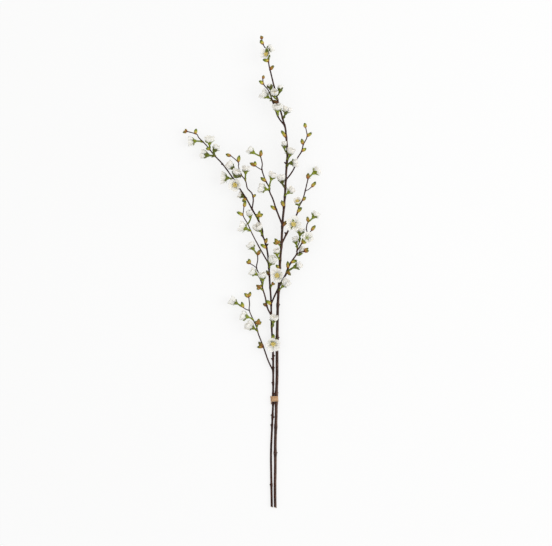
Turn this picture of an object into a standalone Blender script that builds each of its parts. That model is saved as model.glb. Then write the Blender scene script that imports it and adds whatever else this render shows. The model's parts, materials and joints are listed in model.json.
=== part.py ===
"""Quince blossom branch: two cut flowering branches lying side by side, tied once with raffia.

Metres, +Z up. The branches lie on the plane z = 0 with their cut ends towards -Y. The origin
is on that plane, under the middle of the tie. Each branch is one woody solid with its twigs,
buds, flower stalks and calyces. Every blossom is a solid of its own, seated in its calyx.
"""

import math
import random
from collections import namedtuple

import bmesh
import bpy
from mathutils import Matrix, Vector

# Plan places are read off the photograph, x to the right and y down, in steps of 2.25 mm.
STEP = 0.00225
TIE_X = 274.4
TIE_Y = 399.0
MM = 0.001
SEAM = 0.01 * MM
SEED = 7

# Flowers
GAP = 0.3 * MM
PETALS = 5
PETAL_THICKNESS = 0.8 * MM
PETAL_LAP = 1.1 * MM
CLAW_RADIUS = 2.0 * MM
CLAW_HEIGHT = GAP + PETAL_THICKNESS
TUFT_SIDES = 7
TUFT_RINGS = ((1.2, 1.5), (3.1, 3.8), (3.5, 5.2), (1.5, 6.2))

# Flower stalks and calyces
STALK_RADIUS = 1.1 * MM
NECK_RADIUS = 1.7 * MM
NECK_DROP = 4.8 * MM
SEPALS = 5
SEPAL_REACH = 6.2 * MM
SEPAL_DROOP = 1.0 * MM
SEPAL_NOTCH = 2.8 * MM

# Buds
BUD_SIDES = 5
BUD_FOOT_RADIUS = 1.1 * MM
BUD_RADIUS = 3.4 * MM
BUD_LEAN = (-0.25, 0.40)

# Stubs
STUB_RADIUS = 1.5 * MM
STUB_TAPER = 0.7
STUB_SIDES = 5

# Raffia tie: the middles and radii, in mm, of the two rounds that it runs over
TIE_TURN = math.radians(5.0)
TIE_WRAPS = 5
WRAP_WIDTH = 2.9 * MM
WRAP_FLAT = 1.7 * MM
WRAP_GROOVE = 0.4 * MM
TIE_ARC_STEPS = 5
TIE_OUTSIDE = ((4.4, 4.9, 4.9), (-4.5, 4.9, 4.9))
TIE_INSIDE = ((4.4, 4.9, 3.9), (-3.0, 4.4, 3.4))

Limb = namedtuple("Limb", "name parent heights widths points")
Bloom = namedtuple("Bloom", "branch foot seat face width depth opening tilt lift")

# Heights are in mm: above the surface on a main stem, above its fork on a twig.
# Widths are diameters in mm. Both are spaced evenly along the limb.
LEFT_LIMBS = [
    Limb(
        "left_stem", None,
        (2.04, 2.7, 3.4, 4.3, 7.8, 13.0, 18.0, 21.5, 23.0, 20.0, 15.0),
        (4.7, 4.5, 4.3, 4.2, 4.0, 3.8, 3.6, 3.4, 3.0, 2.6, 1.9),
        [(271.8, 507.5), (271.4, 485), (271, 455), (271.8, 432), (272.9, 408), (273.1, 395), (273.2, 370),
         (273, 353), (272, 334), (271.3, 315), (271, 300), (269.8, 283), (268.8, 266), (267.4, 252),
         (264.8, 241), (262.6, 235.5), (262.3, 230), (258.5, 220.5), (252, 209), (247, 199.8),
         (240.3, 189.5), (232.3, 177.3), (222.5, 164), (214.5, 155.5), (206.5, 145.5), (198.7, 137.5),
         (196.5, 134.2), (186.8, 131.3)],
    ),
    Limb(
        "low_left_twig", "left_stem", (0, 4, 8.5), (3.0, 2.4, 1.9),
        [(272.9, 371), (268.3, 361), (263, 346), (258.5, 334.5), (256.5, 327), (252.8, 319), (249.3, 310.3),
         (249.5, 304), (248.7, 297)],
    ),
    Limb(
        "low_left_side_twig", "low_left_twig", (0, 0.5), (2.0, 1.7),
        [(249.3, 310.3), (246, 309.3), (241.2, 306)],
    ),
    Limb(
        "second_left_twig", "left_stem", (0, 5, 9), (2.8, 2.2, 1.8),
        [(271, 315.5), (267.3, 307.5), (265.2, 297), (262.6, 288.5), (262.3, 284.7), (259.5, 277),
         (258.8, 273.5), (256.5, 267.7), (257.7, 260), (257.6, 255)],
    ),
    Limb(
        "second_left_side_twig", "second_left_twig", (0, 2), (1.9, 1.7),
        [(256.5, 267.7), (253, 265.3), (250, 263.5)],
    ),
    Limb(
        "third_left_twig", "left_stem", (0, 5, 8), (3.0, 2.3, 1.8),
        [(268.6, 263.5), (262.5, 253), (257.5, 244), (252.3, 234), (247.7, 224), (243.3, 216), (243.5, 211),
         (244, 207)],
    ),
    Limb(
        "top_left_twig", "left_stem", (0, 8, 12), (2.9, 2.3, 1.8),
        [(252, 209), (253.3, 200), (251.8, 193.3), (247.5, 188.5), (245.6, 181), (241.7, 175.4),
         (238.6, 167), (238.3, 162.5), (231, 156)],
    ),
    Limb(
        "crossing_twig", "left_stem", (0, -4, 4, 9), (3.2, 2.8, 2.4, 2.0),
        [(271.7, 304), (275.5, 294), (281, 283), (286, 274), (288.5, 267), (292.3, 260.5), (296.7, 254),
         (296.8, 251)],
    ),
    Limb(
        "crossing_twig_tip", "crossing_twig", (0, 1), (1.9, 1.7),
        [(296.8, 251), (297.4, 247.5), (299.5, 241.5)],
    ),
    Limb(
        "crossing_twig_fork", "crossing_twig", (0, 2, 3), (2.2, 1.9, 1.7),
        [(296.8, 251), (300.5, 245.5), (305, 238), (307.3, 234), (306.4, 229), (307, 224.5), (308.3, 221.7)],
    ),
    Limb(
        "crossing_twig_fork_tip", "crossing_twig_fork", (0, 1), (1.7, 1.6),
        [(307.3, 234), (309.7, 232.3), (311.5, 230.5)],
    ),
    Limb(
        "crossing_twig_side", "crossing_twig", (0, -1), (2.0, 1.7),
        [(296.7, 254), (299.5, 252.6), (304.2, 251.3)],
    ),
]

RIGHT_LIMBS = [
    Limb(
        "right_stem", None,
        (2.52, 3.5, 4.4, 6.0, 10.5, 16.5, 22.0, 26.5, 30.0, 32.0, 31.0),
        (5.8, 6.0, 6.2, 6.2, 5.8, 5.2, 4.8, 4.4, 3.9, 3.2, 2.0),
        [(275.2, 508), (275, 488), (275.3, 465), (275.3, 442), (276.2, 413), (276.3, 396), (277, 376),
         (277, 348), (277.3, 328), (277.7, 308), (278.5, 292), (279.4, 277), (280.1, 260), (281.4, 245),
         (282.5, 223), (283.8, 209), (285.1, 193), (286.2, 172), (287.2, 158.5), (287.2, 149), (286.5, 140),
         (285.4, 129), (283.3, 121), (280, 109), (277.3, 99), (273.6, 84.5), (271, 74), (268.7, 63.5),
         (268.3, 52), (264, 46.5), (261.5, 38.5)],
    ),
    Limb(
        "low_right_twig", "right_stem", (0, 2, 0, -5), (3.0, 2.6, 2.1, 1.8),
        [(281.7, 244.5), (285.7, 235.5), (290, 227.5), (297, 213.8), (299, 206.5), (302.5, 200),
         (304.5, 193.7), (306, 187.5), (308.2, 178)],
    ),
    Limb(
        "low_right_side_twig", "low_right_twig", (0, 1), (1.8, 1.6),
        [(305.8, 191), (308.5, 189.5), (311.5, 187)],
    ),
    Limb(
        "second_right_twig", "right_stem", (0, -4, -3, 1, 4), (3.2, 2.8, 2.6, 2.2, 1.8),
        [(286.2, 180), (290, 175), (294.6, 167.3), (297, 159), (301.5, 151.5), (303.3, 144.7), (307, 137),
         (306, 129.5), (305.6, 127.7)],
    ),
    Limb(
        "third_right_twig", "right_stem", (0, 6, 10, 12), (3.2, 2.6, 2.2, 1.8),
        [(282.4, 225), (279, 216.5), (275.8, 208.3), (273, 199.5), (269.7, 192), (269.5, 188), (265.5, 180.5),
         (262, 170), (262.3, 164), (260.5, 156.3)],
    ),
    Limb(
        "third_right_side_twig", "third_right_twig", (0, 2), (1.9, 1.7),
        [(262, 170), (259.5, 168.8), (255.3, 166.2)],
    ),
    Limb(
        "top_right_twig", "right_stem", (0, 4, 8), (2.9, 2.4, 1.8),
        [(283.8, 125.8), (279, 118.5), (275.5, 110.5), (272, 100), (268.5, 91), (263.8, 85), (262.8, 79)],
    ),
]

# Knots and cut stubs on the bark: the place of each one's tip
LEFT_STUBS = [
    (269.8, 485.5), (270.2, 426), (274.2, 417.5), (271.0, 383.5), (274.9, 368.2), (275.0, 356.3),
    (271.0, 359.3), (274.3, 325.8), (268.2, 245.0), (260.6, 236.0), (221.0, 165.0),
]
RIGHT_STUBS = [
    (277.2, 453.5), (278.2, 392.5), (279.2, 338.3), (279.9, 305.3), (284.9, 233.2), (284.2, 163.5),
]

# Buds: the place on the twig, the end of the stalk or None, and the tips.
LEFT_BUDS = [
    ((186.8, 131.3), None, [(182.8, 132.3), (185, 129)]),
    ((195.4, 133.9), None, [(196, 128.6)]),
    ((210, 149.7), None, [(206, 148)]),
    ((230.8, 156), None, [(225.8, 154.5)]),
    ((238.4, 162.3), None, [(239.3, 155.5)]),
    ((252.8, 197), None, [(255.8, 194.6)]),
    ((245.3, 198.5), None, [(242.5, 202)]),
    ((244, 206.7), None, [(245.7, 201.0)]),
    ((243.2, 215.3), None, [(236.8, 211.8)]),
    ((258.8, 220), (258.7, 216.5), [(259.5, 210.8), (263, 214), (255.8, 214.3)]),
    ((266, 243.3), None, [(266.9, 238.0)]),
    ((265.8, 248.2), None, [(260.5, 244)]),
    ((311.5, 230.7), None, [(315.3, 225.3)]),
    ((302.2, 243.1), None, [(304, 237.6), (308.0, 240.9)]),
    ((304.2, 251.4), None, [(308.3, 248), (308.8, 251.2)]),
    ((308.4, 221.7), None, [(307.3, 216.7)]),
    ((287.5, 268), None, [(287.8, 261)]),
    ((292, 263), None, [(297, 260.3)]),
    ((287.5, 271), None, [(290.6, 275.5)]),
    ((268.9, 275.5), None, [(266.5, 270.3)]),
    ((249.8, 263.5), None, [(246.3, 261.3), (248.8, 258.9)]),
    ((257.6, 254.7), None, [(260, 250)]),
    ((262.6, 290.5), (260, 288), [(256.3, 284.8), (256.7, 289.3), (261, 284.5)]),
    ((270.2, 287.8), (272, 284.5), [(273, 281.7), (275, 283.5)]),
    ((271, 304.8), None, [(266.0, 300)]),
    ((267, 306), None, [(263.0, 303.5)]),
    ((248.7, 297), None, [(244.3, 293.4), (250.7, 291.8)]),
    ((243.6, 307.2), None, [(241.4, 301.9)]),
    ((256.8, 327.5), (257.8, 324), [(258.9, 318.6), (261.5, 322.3), (255.1, 321.3)]),
    ((262.9, 347), None, [(258.5, 341.8), (257.3, 347)]),
    ((272.5, 341), None, [(273.7, 334)]),
]
RIGHT_BUDS = [
    ((261.5, 39.5), None, [(261.0, 36.0), (262.6, 36.6)]),
    ((263.2, 44.7), None, [(260.1, 40.6)]),
    ((268, 61.8), None, [(262.8, 59.8)]),
    ((270.3, 69.8), None, [(273.7, 66.0)]),
    ((262.8, 79.3), None, [(263.7, 75.6)]),
    ((263.5, 84.5), None, [(259.0, 81)]),
    ((276.5, 104.5), None, [(271, 100.5)]),
    ((286, 137.8), None, [(281.2, 130.8)]),
    ((305.8, 127.8), None, [(304.5, 123)]),
    ((307.3, 136.5), None, [(311.8, 133)]),
    ((303.3, 144.5), None, [(301.3, 139)]),
    ((302, 151.3), None, [(306.3, 148.2)]),
    ((307.9, 179.0), None, [(308.2, 172.8)]),
    ((311.6, 186.8), None, [(316, 181.8)]),
    ((303, 200.5), None, [(306, 197)]),
    ((298, 212.5), None, [(301.5, 207.3)]),
    ((255.2, 166.2), None, [(250.0, 163), (255, 161.4)]),
    ((260.4, 156.2), None, [(261.3, 150.3)]),
    ((265.5, 181.8), None, [(260.6, 177.5)]),
    ((276, 209.8), None, [(270.3, 205.5)]),
    ((284, 206.7), None, [(281.5, 200.5)]),
    ((283, 226.5), None, [(287.8, 220.3)]),
    ((280.8, 247), (278.3, 243.5), [(274.8, 238.3), (273.2, 242.7), (279.7, 240.2)]),
    ((279.7, 268.5), None, [(275.7, 265)]),
]

# Blossoms: the branch, the plan places of the stalk's foot, the seat in the calyx and a point that
# the flower faces, the width and depth of its cup in plan steps, how far it is open (0 to 1),
# its tilt up from the surface in degrees and the height of its seat above the foot in mm.
BLOOMS = [
    Bloom("right", (268.6, 60.5), (267.3, 55.2), (263.5, 52.6), 12.0, 4.6, 1.00, 54, 9),
    Bloom("right", (270.0, 94.0), (271.0, 89.0), (269.2, 84.0), 6.2, 5.4, 0.35, -5, 0),
    Bloom("right", (271.0, 100.0), (267.6, 97.0), (262.6, 93.5), 11.0, 8.0, 0.45, 5, -8),
    Bloom("right", (277.3, 99.5), (274.4, 96.6), (274.2, 91.0), 8.4, 7.0, 0.40, 35, 12),
    Bloom("right", (277.3, 95.0), (280.0, 90.3), (280.6, 86.0), 5.8, 5.0, 0.20, 10, 2),
    Bloom("right", (277.1, 115.5), (277.8, 111.4), (277.0, 105.0), 11.5, 7.0, 0.45, 18, 11),
    Bloom("right", (283.5, 118.3), (285.6, 113.4), (287.6, 108.0), 9.8, 7.0, 0.40, 8, 3),
    Bloom("left", (202.7, 142.3), (194.6, 141.0), (189.0, 141.2), 11.0, 6.8, 0.45, 0, 0),
    Bloom("left", (210.3, 149.0), (209.5, 143.4), (209.5, 138.0), 11.2, 7.0, 0.50, 14, 4),
    Bloom("left", (214.5, 156.3), (207.6, 155.1), (202.5, 154.0), 10.0, 7.0, 0.40, -10, -3),
    Bloom("left", (215.2, 155.8), (214.7, 150.4), (217.2, 145.6), 7.0, 6.0, 0.30, 10, 7),
    Bloom("left", (239.3, 171.0), (232.7, 168.0), (229.0, 164.8), 9.6, 7.6, 0.40, 12, 4),
    Bloom("left", (241.5, 175.6), (236.3, 175.8), (237.4, 171.0), 9.4, 6.2, 0.50, 22, 12),
    Bloom("left", (233.5, 180.0), (227.4, 178.0), (222.4, 177.6), 14.5, 6.6, 0.70, -5, -2),
    Bloom("left", (236.5, 184.0), (235.4, 185.4), (234.0, 184.8), 13.4, 4.2, 1.00, 80, 9),
    Bloom("left", (245.8, 180.5), (245.7, 172.4), (246.0, 167.0), 8.6, 6.6, 0.40, 5, 0),
    Bloom("left", (245.5, 198.3), (242.8, 196.2), (239.6, 194.4), 7.8, 5.4, 0.40, 0, -11),
    Bloom("right", (260.4, 156.4), (253.2, 152.6), (249.0, 149.6), 8.4, 6.4, 0.40, 5, 1),
    Bloom("right", (269.7, 188.3), (265.6, 189.4), (260.6, 188.4), 11.0, 7.4, 0.45, 10, 3),
    Bloom("right", (270.0, 187.5), (271.5, 178.9), (273.0, 174.6), 8.8, 6.8, 0.40, 12, 8),
    Bloom("right", (285.0, 188.3), (281.9, 181.9), (280.6, 176.4), 9.4, 7.0, 0.40, 10, 3),
    Bloom("right", (287.2, 153.0), (284.3, 147.1), (284.0, 142.6), 5.6, 5.8, 0.15, 12, 9),
    Bloom("right", (287.5, 161.0), (289.9, 154.9), (291.4, 149.6), 8.4, 6.8, 0.40, 20, 7),
    Bloom("right", (287.0, 166.5), (291.5, 163.3), (296.5, 163.0), 8.6, 6.6, 0.40, 28, 10),
    Bloom("right", (285.2, 196.5), (288.7, 192.4), (291.6, 190.0), 7.8, 6.2, 0.35, 15, 6),
    Bloom("right", (299.7, 205.3), (298.0, 203.4), (296.4, 198.8), 8.6, 5.4, 0.70, 45, 7),
    Bloom("right", (308.5, 177.7), (314.0, 172.8), (318.6, 169.6), 10.4, 7.0, 0.45, 0, 0),
    Bloom("left", (248.0, 223.8), (250.2, 216.6), (249.0, 211.0), 6.4, 6.6, 0.20, 12, 4),
    Bloom("left", (250.2, 231.0), (246.0, 228.6), (241.0, 226.4), 12.4, 8.0, 0.50, 0, 3),
    Bloom("left", (262.6, 235.0), (260.0, 230.3), (256.0, 224.0), 10.4, 7.2, 0.45, 25, 10),
    Bloom("left", (257.6, 254.7), (253.0, 248.5), (250.0, 243.6), 9.8, 6.6, 0.45, 8, 2),
    Bloom("right", (291.5, 225.0), (293.2, 224.6), (294.2, 223.6), 16.0, 4.8, 1.00, 80, 11),
    Bloom("left", (299.6, 241.5), (300.1, 234.2), (300.8, 229.0), 8.6, 6.4, 0.40, -6, -3),
    Bloom("left", (297.3, 248.0), (296.0, 242.6), (295.0, 238.4), 6.4, 6.4, 0.20, 5, 3),
    Bloom("left", (305.5, 237.0), (306.6, 238.0), (308.2, 237.0), 12.0, 4.2, 0.95, 66, 11),
    Bloom("left", (308.4, 221.5), (313.5, 217.0), (317.2, 212.6), 8.4, 6.4, 0.40, 5, 2),
    Bloom("left", (269.0, 268.0), (270.6, 263.9), (273.6, 257.4), 11.0, 8.6, 0.45, 18, 6),
    Bloom("right", (280.1, 260.0), (277.2, 254.2), (276.5, 249.2), 7.6, 5.8, 0.40, 14, 9),
    Bloom("right", (279.4, 277.0), (277.4, 275.8), (276.6, 275.2), 14.4, 4.4, 1.00, 80, 10),
    Bloom("left", (259.2, 275.8), (255.6, 273.9), (250.8, 271.0), 9.6, 6.6, 0.45, 12, 6),
    Bloom("left", (262.4, 285.0), (262.8, 279.4), (262.1, 274.0), 9.2, 7.2, 0.45, 16, 10),
    Bloom("left", (297.0, 254.2), (300.8, 254.2), (302.4, 249.2), 7.0, 7.2, 0.25, -4, -9),
    Bloom("left", (287.3, 270.5), (295.0, 267.4), (298.2, 262.6), 7.6, 7.2, 0.30, 12, 12),
    Bloom("right", (279.0, 290.5), (282.9, 285.9), (287.6, 280.6), 10.4, 8.2, 0.40, 14, 6),
    Bloom("left", (242.2, 306.2), (236.0, 302.9), (230.6, 299.8), 9.8, 7.4, 0.40, 6, 1),
    Bloom("left", (252.7, 320.3), (247.2, 316.9), (241.6, 315.2), 11.2, 7.2, 0.50, 8, 4),
    Bloom("left", (257.2, 331.3), (253.1, 328.0), (248.0, 325.0), 10.6, 8.0, 0.45, 10, 3),
    Bloom("left", (271.9, 327.0), (273.2, 321.4), (273.3, 316.6), 8.0, 6.2, 0.40, 30, 12),
    Bloom("left", (272.6, 344.0), (273.2, 343.0), (273.4, 348.0), 16.0, 4.8, 1.00, 64, 10),
    Bloom("right", (268.2, 53.5), (269.9, 50.8), (273.0, 48.4), 9.6, 5.6, 0.55, 8, -4),
]
# Places in BLOOMS of the two blossoms that lie on the surface, one on either side of the stems.
RESTING = (7, 26)

# How the rows of a petal lie from its claw to its tip: along the middle, along the edges, and the
# half angle that the petal covers there, in degrees.
SMALL_PETAL_ROWS = ((0.52, 0.56, 42.0), (1.0, 0.90, 24.0))
LARGE_PETAL_ROWS = ((0.36, 0.38, 38.0), (0.70, 0.72, 42.0), (1.0, 0.92, 22.0))
CLAW_HALF_ANGLE = 26.0
WIDE_OPEN = 0.9


def plan(x, y, z=0.0):
    """A plan place of the drawing at height z, in metres."""
    return Vector(((x - TIE_X) * STEP, (TIE_Y - y) * STEP, z))


def mix(a, b, t):
    return a + (b - a) * t


def knot_value(knots, t):
    """Smooth value at t (0 to 1) through evenly spaced knots."""
    place = min(max(t, 0.0), 1.0) * (len(knots) - 1)
    i = min(int(place), len(knots) - 2)
    f = place - i
    before = knots[max(i - 1, 0)]
    start = knots[i]
    end = knots[i + 1]
    after = knots[min(i + 2, len(knots) - 1)]
    slope_in = (end - before) / 2
    slope_out = (after - start) / 2
    f2 = f * f
    f3 = f2 * f
    return (
        (2 * f3 - 3 * f2 + 1) * start + (f3 - 2 * f2 + f) * slope_in
        + (3 * f2 - 2 * f3) * end + (f3 - f2) * slope_out
    )


class Route:
    """The middle line of a limb, with its radius at every point."""

    def __init__(self, limb, routes):
        flat = [plan(x, y) for x, y in limb.points]
        base = 0.0
        if limb.parent:
            root = routes[limb.parent].nearest(flat[0])
            flat[0] = Vector((root.x, root.y, 0.0))
            base = root.z
        lengths = [0.0]
        for a, b in zip(flat, flat[1:]):
            lengths.append(lengths[-1] + (b - a).length)
        self.points = []
        self.radii = []
        for place, length in zip(flat, lengths):
            t = length / lengths[-1]
            height = base + knot_value(limb.heights, t) * MM
            self.points.append(Vector((place.x, place.y, height)))
            self.radii.append(knot_value(limb.widths, t) * MM / 2)

    def nearest(self, place):
        """The point of the middle line nearest to a plan place, seen from above."""
        best = None
        for a, b in zip(self.points, self.points[1:]):
            run = Vector((b.x - a.x, b.y - a.y))
            off = Vector((place.x - a.x, place.y - a.y))
            t = min(max(off.dot(run) / run.length_squared, 0.0), 1.0)
            point = a.lerp(b, t)
            distance = math.hypot(point.x - place.x, point.y - place.y)
            if best is None or distance < best[0]:
                best = (distance, point)
        return best[1]


def build_routes(limbs):
    routes = {}
    for limb in limbs:
        routes[limb.name] = Route(limb, routes)
    return routes


def nearest_on(routes, x, y):
    """The nearest point on any limb of a branch, seen from above."""
    place = plan(x, y)
    feet = [route.nearest(place) for route in routes.values()]
    return min(feet, key=lambda foot: math.hypot(foot.x - place.x, foot.y - place.y))


def make_material(name, color, roughness):
    material = bpy.data.materials.new(name)
    material.use_nodes = True
    shader = material.node_tree.nodes["Principled BSDF"]
    shader.inputs["Base Color"].default_value = (*color, 1.0)
    shader.inputs["Roughness"].default_value = roughness
    shader.inputs["Metallic"].default_value = 0.0
    material.diffuse_color = (*color, 1.0)
    return material


def add_object(name, data, collection):
    made = bpy.data.objects.new(name, data)
    collection.objects.link(made)
    return made


def mesh_from(name, bm):
    """A mesh of the bmesh's shape, with its faces turned outwards."""
    bmesh.ops.recalc_face_normals(bm, faces=bm.faces[:])
    mesh = bpy.data.meshes.new(name)
    bm.to_mesh(mesh)
    bm.free()
    return mesh


def evaluated_mesh(source):
    graph = bpy.context.evaluated_depsgraph_get()
    return bpy.data.meshes.new_from_object(source.evaluated_get(graph))


def weld(mesh, distance):
    bm = bmesh.new()
    bm.from_mesh(mesh)
    bmesh.ops.remove_doubles(bm, verts=bm.verts[:], dist=distance)
    bmesh.ops.dissolve_degenerate(bm, edges=bm.edges[:], dist=distance)
    loose = [vertex for vertex in bm.verts if not vertex.link_edges]
    bmesh.ops.delete(bm, geom=loose, context="VERTS")
    bm.to_mesh(mesh)
    bm.free()


def add_tube(name, points, radii, collection):
    """A tube along the points, made from a bevelled curve and welded shut."""
    curve = bpy.data.curves.new(name, "CURVE")
    curve.dimensions = "3D"
    curve.twist_mode = "Z_UP"
    curve.bevel_depth = 1.0
    curve.bevel_resolution = 1
    curve.use_fill_caps = True
    spline = curve.splines.new("POLY")
    spline.points.add(len(points) - 1)
    for target, point, radius in zip(spline.points, points, radii):
        target.co = (*point, 1.0)
        target.radius = radius
    drawn = add_object(name + "_curve", curve, collection)
    mesh = evaluated_mesh(drawn)
    bpy.data.objects.remove(drawn)
    weld(mesh, SEAM)
    return add_object(name, mesh, collection)


def ring_frame(direction, guide):
    """Two unit vectors square to a direction, the first one towards the guide."""
    across = (guide - guide.dot(direction) * direction).normalized()
    return across, direction.cross(across)


def add_ring(bm, centre, direction, guide, radius, sides):
    across, along = ring_frame(direction, guide)
    corners = []
    for i in range(sides):
        angle = math.tau * i / sides
        offset = (math.cos(angle) * across + math.sin(angle) * along) * radius
        corners.append(bm.verts.new(centre + offset))
    return corners


def bridge(bm, lower, upper):
    for i in range(len(lower)):
        j = (i + 1) % len(lower)
        bm.faces.new((lower[i], lower[j], upper[j], upper[i]))


def close_with_point(bm, ring, point):
    tip = bm.verts.new(point)
    for i in range(len(ring)):
        bm.faces.new((ring[i], ring[(i + 1) % len(ring)], tip))


def add_bud(name, foot, tip, radius, collection):
    """An egg-shaped bud whose foot is sunk in the twig."""
    bm = bmesh.new()
    direction = (tip - foot).normalized()
    guide = Vector((0, 0, 1)) if abs(direction.z) < 0.9 else Vector((1, 0, 0))
    foot_radius = min(BUD_FOOT_RADIUS, radius * 0.8)
    shape = ((0.0, foot_radius), (0.56, radius), (0.82, radius * 0.70))
    rings = [
        add_ring(bm, foot.lerp(tip, t), direction, guide, size, BUD_SIDES)
        for t, size in shape
    ]
    for lower, upper in zip(rings, rings[1:]):
        bridge(bm, lower, upper)
    close_with_point(bm, rings[-1], tip)
    bm.faces.new(rings[0])
    return add_object(name, mesh_from(name, bm), collection)


def add_stub(name, foot, tip, radius, collection):
    """A short cut stub, tapering a little from the bark to its flat end."""
    bm = bmesh.new()
    direction = (tip - foot).normalized()
    up = Vector((0, 0, 1))
    rings = [
        add_ring(bm, foot, direction, up, radius, STUB_SIDES),
        add_ring(bm, tip, direction, up, radius * STUB_TAPER, STUB_SIDES),
    ]
    bridge(bm, *rings)
    bm.faces.new(rings[0])
    bm.faces.new(rings[1])
    return add_object(name, mesh_from(name, bm), collection)


def add_calyx(name, foot, seat, axis, collection):
    """A flower stalk from the twig, ending in a cup with five pointed sepals."""
    bm = bmesh.new()
    neck = seat - axis * NECK_DROP
    rise = (neck - foot).normalized()
    guide = axis.orthogonal().normalized()
    rings = [
        add_ring(bm, foot, rise, guide, STALK_RADIUS, SEPALS),
        add_ring(bm, neck, rise, guide, NECK_RADIUS, SEPALS),
    ]
    bridge(bm, *rings)
    bm.faces.new(rings[0])
    across, along = ring_frame(axis, guide)
    middle = bm.verts.new(seat)
    star = []
    for i in range(2 * SEPALS):
        angle = math.pi * i / SEPALS
        reach = SEPAL_REACH if i % 2 == 0 else SEPAL_NOTCH
        droop = SEPAL_DROOP if i % 2 == 0 else 0.0
        offset = (math.cos(angle) * across + math.sin(angle) * along) * reach
        star.append(bm.verts.new(seat + offset - axis * droop))
    for i in range(SEPALS):
        root = rings[-1][i]
        tip = star[2 * i]
        notch = star[2 * i + 1]
        bm.faces.new((root, star[2 * i - 1], tip))
        bm.faces.new((root, tip, notch))
        bm.faces.new((root, notch, rings[-1][(i + 1) % SEPALS]))
    for i in range(2 * SEPALS):
        bm.faces.new((star[i], star[(i + 1) % (2 * SEPALS)], middle))
    return add_object(name, mesh_from(name, bm), collection)


def fuse(name, pieces):
    """One closed mesh of all the pieces, which are removed."""
    first = pieces[0]
    joined = bpy.data.collections.new(name + "_pieces")
    bpy.context.scene.collection.children.link(joined)
    for piece in pieces[1:]:
        for holder in list(piece.users_collection):
            holder.objects.unlink(piece)
        joined.objects.link(piece)
    union = first.modifiers.new("Union", "BOOLEAN")
    union.operation = "UNION"
    union.operand_type = "COLLECTION"
    union.collection = joined
    union.solver = "EXACT"
    mesh = evaluated_mesh(first)
    mesh.name = name
    for piece in pieces:
        bpy.data.objects.remove(piece)
    bpy.data.collections.remove(joined)
    return mesh


def petal_line(bloom, t):
    """Radius and height on a petal's inner face at t, from its claw (0) to its tip (1), in metres."""
    width = bloom.width * STEP
    depth = bloom.depth * STEP
    opening = bloom.opening
    nodes = (
        Vector((CLAW_RADIUS, CLAW_HEIGHT)),
        Vector((mix(0.42, 0.24, opening) * width, mix(0.06, 0.22, opening) * depth)),
        Vector((mix(0.56, 0.40, opening) * width, mix(0.55, 0.80, opening) * depth)),
        Vector((mix(0.40, 0.50, opening) * width, depth)),
    )
    s = 1 - t
    return s ** 3 * nodes[0] + 3 * s * s * t * nodes[1] + 3 * s * t * t * nodes[2] + t ** 3 * nodes[3]


def petal_normal(bloom, t):
    """Unit vector from the inner face to the outer one, as radius and height."""
    ahead = petal_line(bloom, min(t + 0.02, 1.0))
    behind = petal_line(bloom, max(t - 0.02, 0.0))
    run = (ahead - behind).normalized()
    return Vector((run.y, -run.x))


def petal_point(bloom, t, angle, outward):
    """A point of a petal about the flower's axis, moved outward along the normal."""
    radius, height = petal_line(bloom, t) + petal_normal(bloom, t) * outward
    return Vector((radius * math.cos(angle), radius * math.sin(angle), height))


def blossom_mesh(name, bloom, rows, collection):
    """Five spoon-shaped petals round a small disc: one thin sheet, given its thickness.

    The right edge of each petal laps over the left edge of the next.
    """
    bm = bmesh.new()
    claw = math.radians(CLAW_HALF_ANGLE)
    disc = []
    for index in range(PETALS):
        turn = math.tau * index / PETALS
        lower = [bm.verts.new(petal_point(bloom, 0.0, turn + side * claw, 0.0)) for side in (-1, 1)]
        disc.extend(lower)
        for t_middle, t_edge, half_angle in rows:
            spread = math.radians(half_angle)
            upper = [
                bm.verts.new(petal_point(bloom, t_edge, turn - spread, -PETAL_LAP)),
                bm.verts.new(petal_point(bloom, t_middle, turn, 0.0)),
                bm.verts.new(petal_point(bloom, t_edge, turn + spread, PETAL_LAP)),
            ]
            if len(lower) == 2:
                bm.faces.new((lower[1], lower[0], upper[1]))
                bm.faces.new((lower[0], upper[0], upper[1]))
                bm.faces.new((lower[1], upper[1], upper[2]))
            else:
                for c in range(2):
                    bm.faces.new((lower[c + 1], lower[c], upper[c + 1]))
                    bm.faces.new((lower[c], upper[c], upper[c + 1]))
            lower = upper
    bm.faces.new(disc)
    bmesh.ops.triangulate(bm, faces=bm.faces[-1:])
    mesh = bpy.data.meshes.new(name + "_sheet")
    bm.to_mesh(mesh)
    bm.free()
    sheet = add_object(name + "_sheet", mesh, collection)
    shell = sheet.modifiers.new("Thickness", "SOLIDIFY")
    shell.thickness = PETAL_THICKNESS
    shell.offset = -1.0
    solid = evaluated_mesh(sheet)
    solid.name = name
    bpy.data.objects.remove(sheet)
    return solid


def tuft_mesh(name):
    """A tuft of stamens, standing clear of the flower's middle."""
    bm = bmesh.new()
    up = Vector((0, 0, 1))
    guide = Vector((1, 0, 0))
    rings = [
        add_ring(bm, up * height * MM, up, guide, radius * MM, TUFT_SIDES)
        for radius, height in TUFT_RINGS
    ]
    for lower, upper in zip(rings, rings[1:]):
        bridge(bm, lower, upper)
    bm.faces.new(rings[0])
    bm.faces.new(rings[-1])
    return mesh_from(name, bm)


def bloom_axis(bloom):
    run = plan(*bloom.face) - plan(*bloom.seat)
    run.normalize()
    tilt = math.radians(bloom.tilt)
    return Vector((run.x * math.cos(tilt), run.y * math.cos(tilt), math.sin(tilt)))


def bloom_turn(axis, roll):
    """The rotation that stands a flower's +Z along its axis."""
    across, along = ring_frame(axis, axis.orthogonal().normalized())
    turn = Matrix((across, along, axis)).transposed()
    return turn.to_4x4() @ Matrix.Rotation(roll, 4, "Z")


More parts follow.
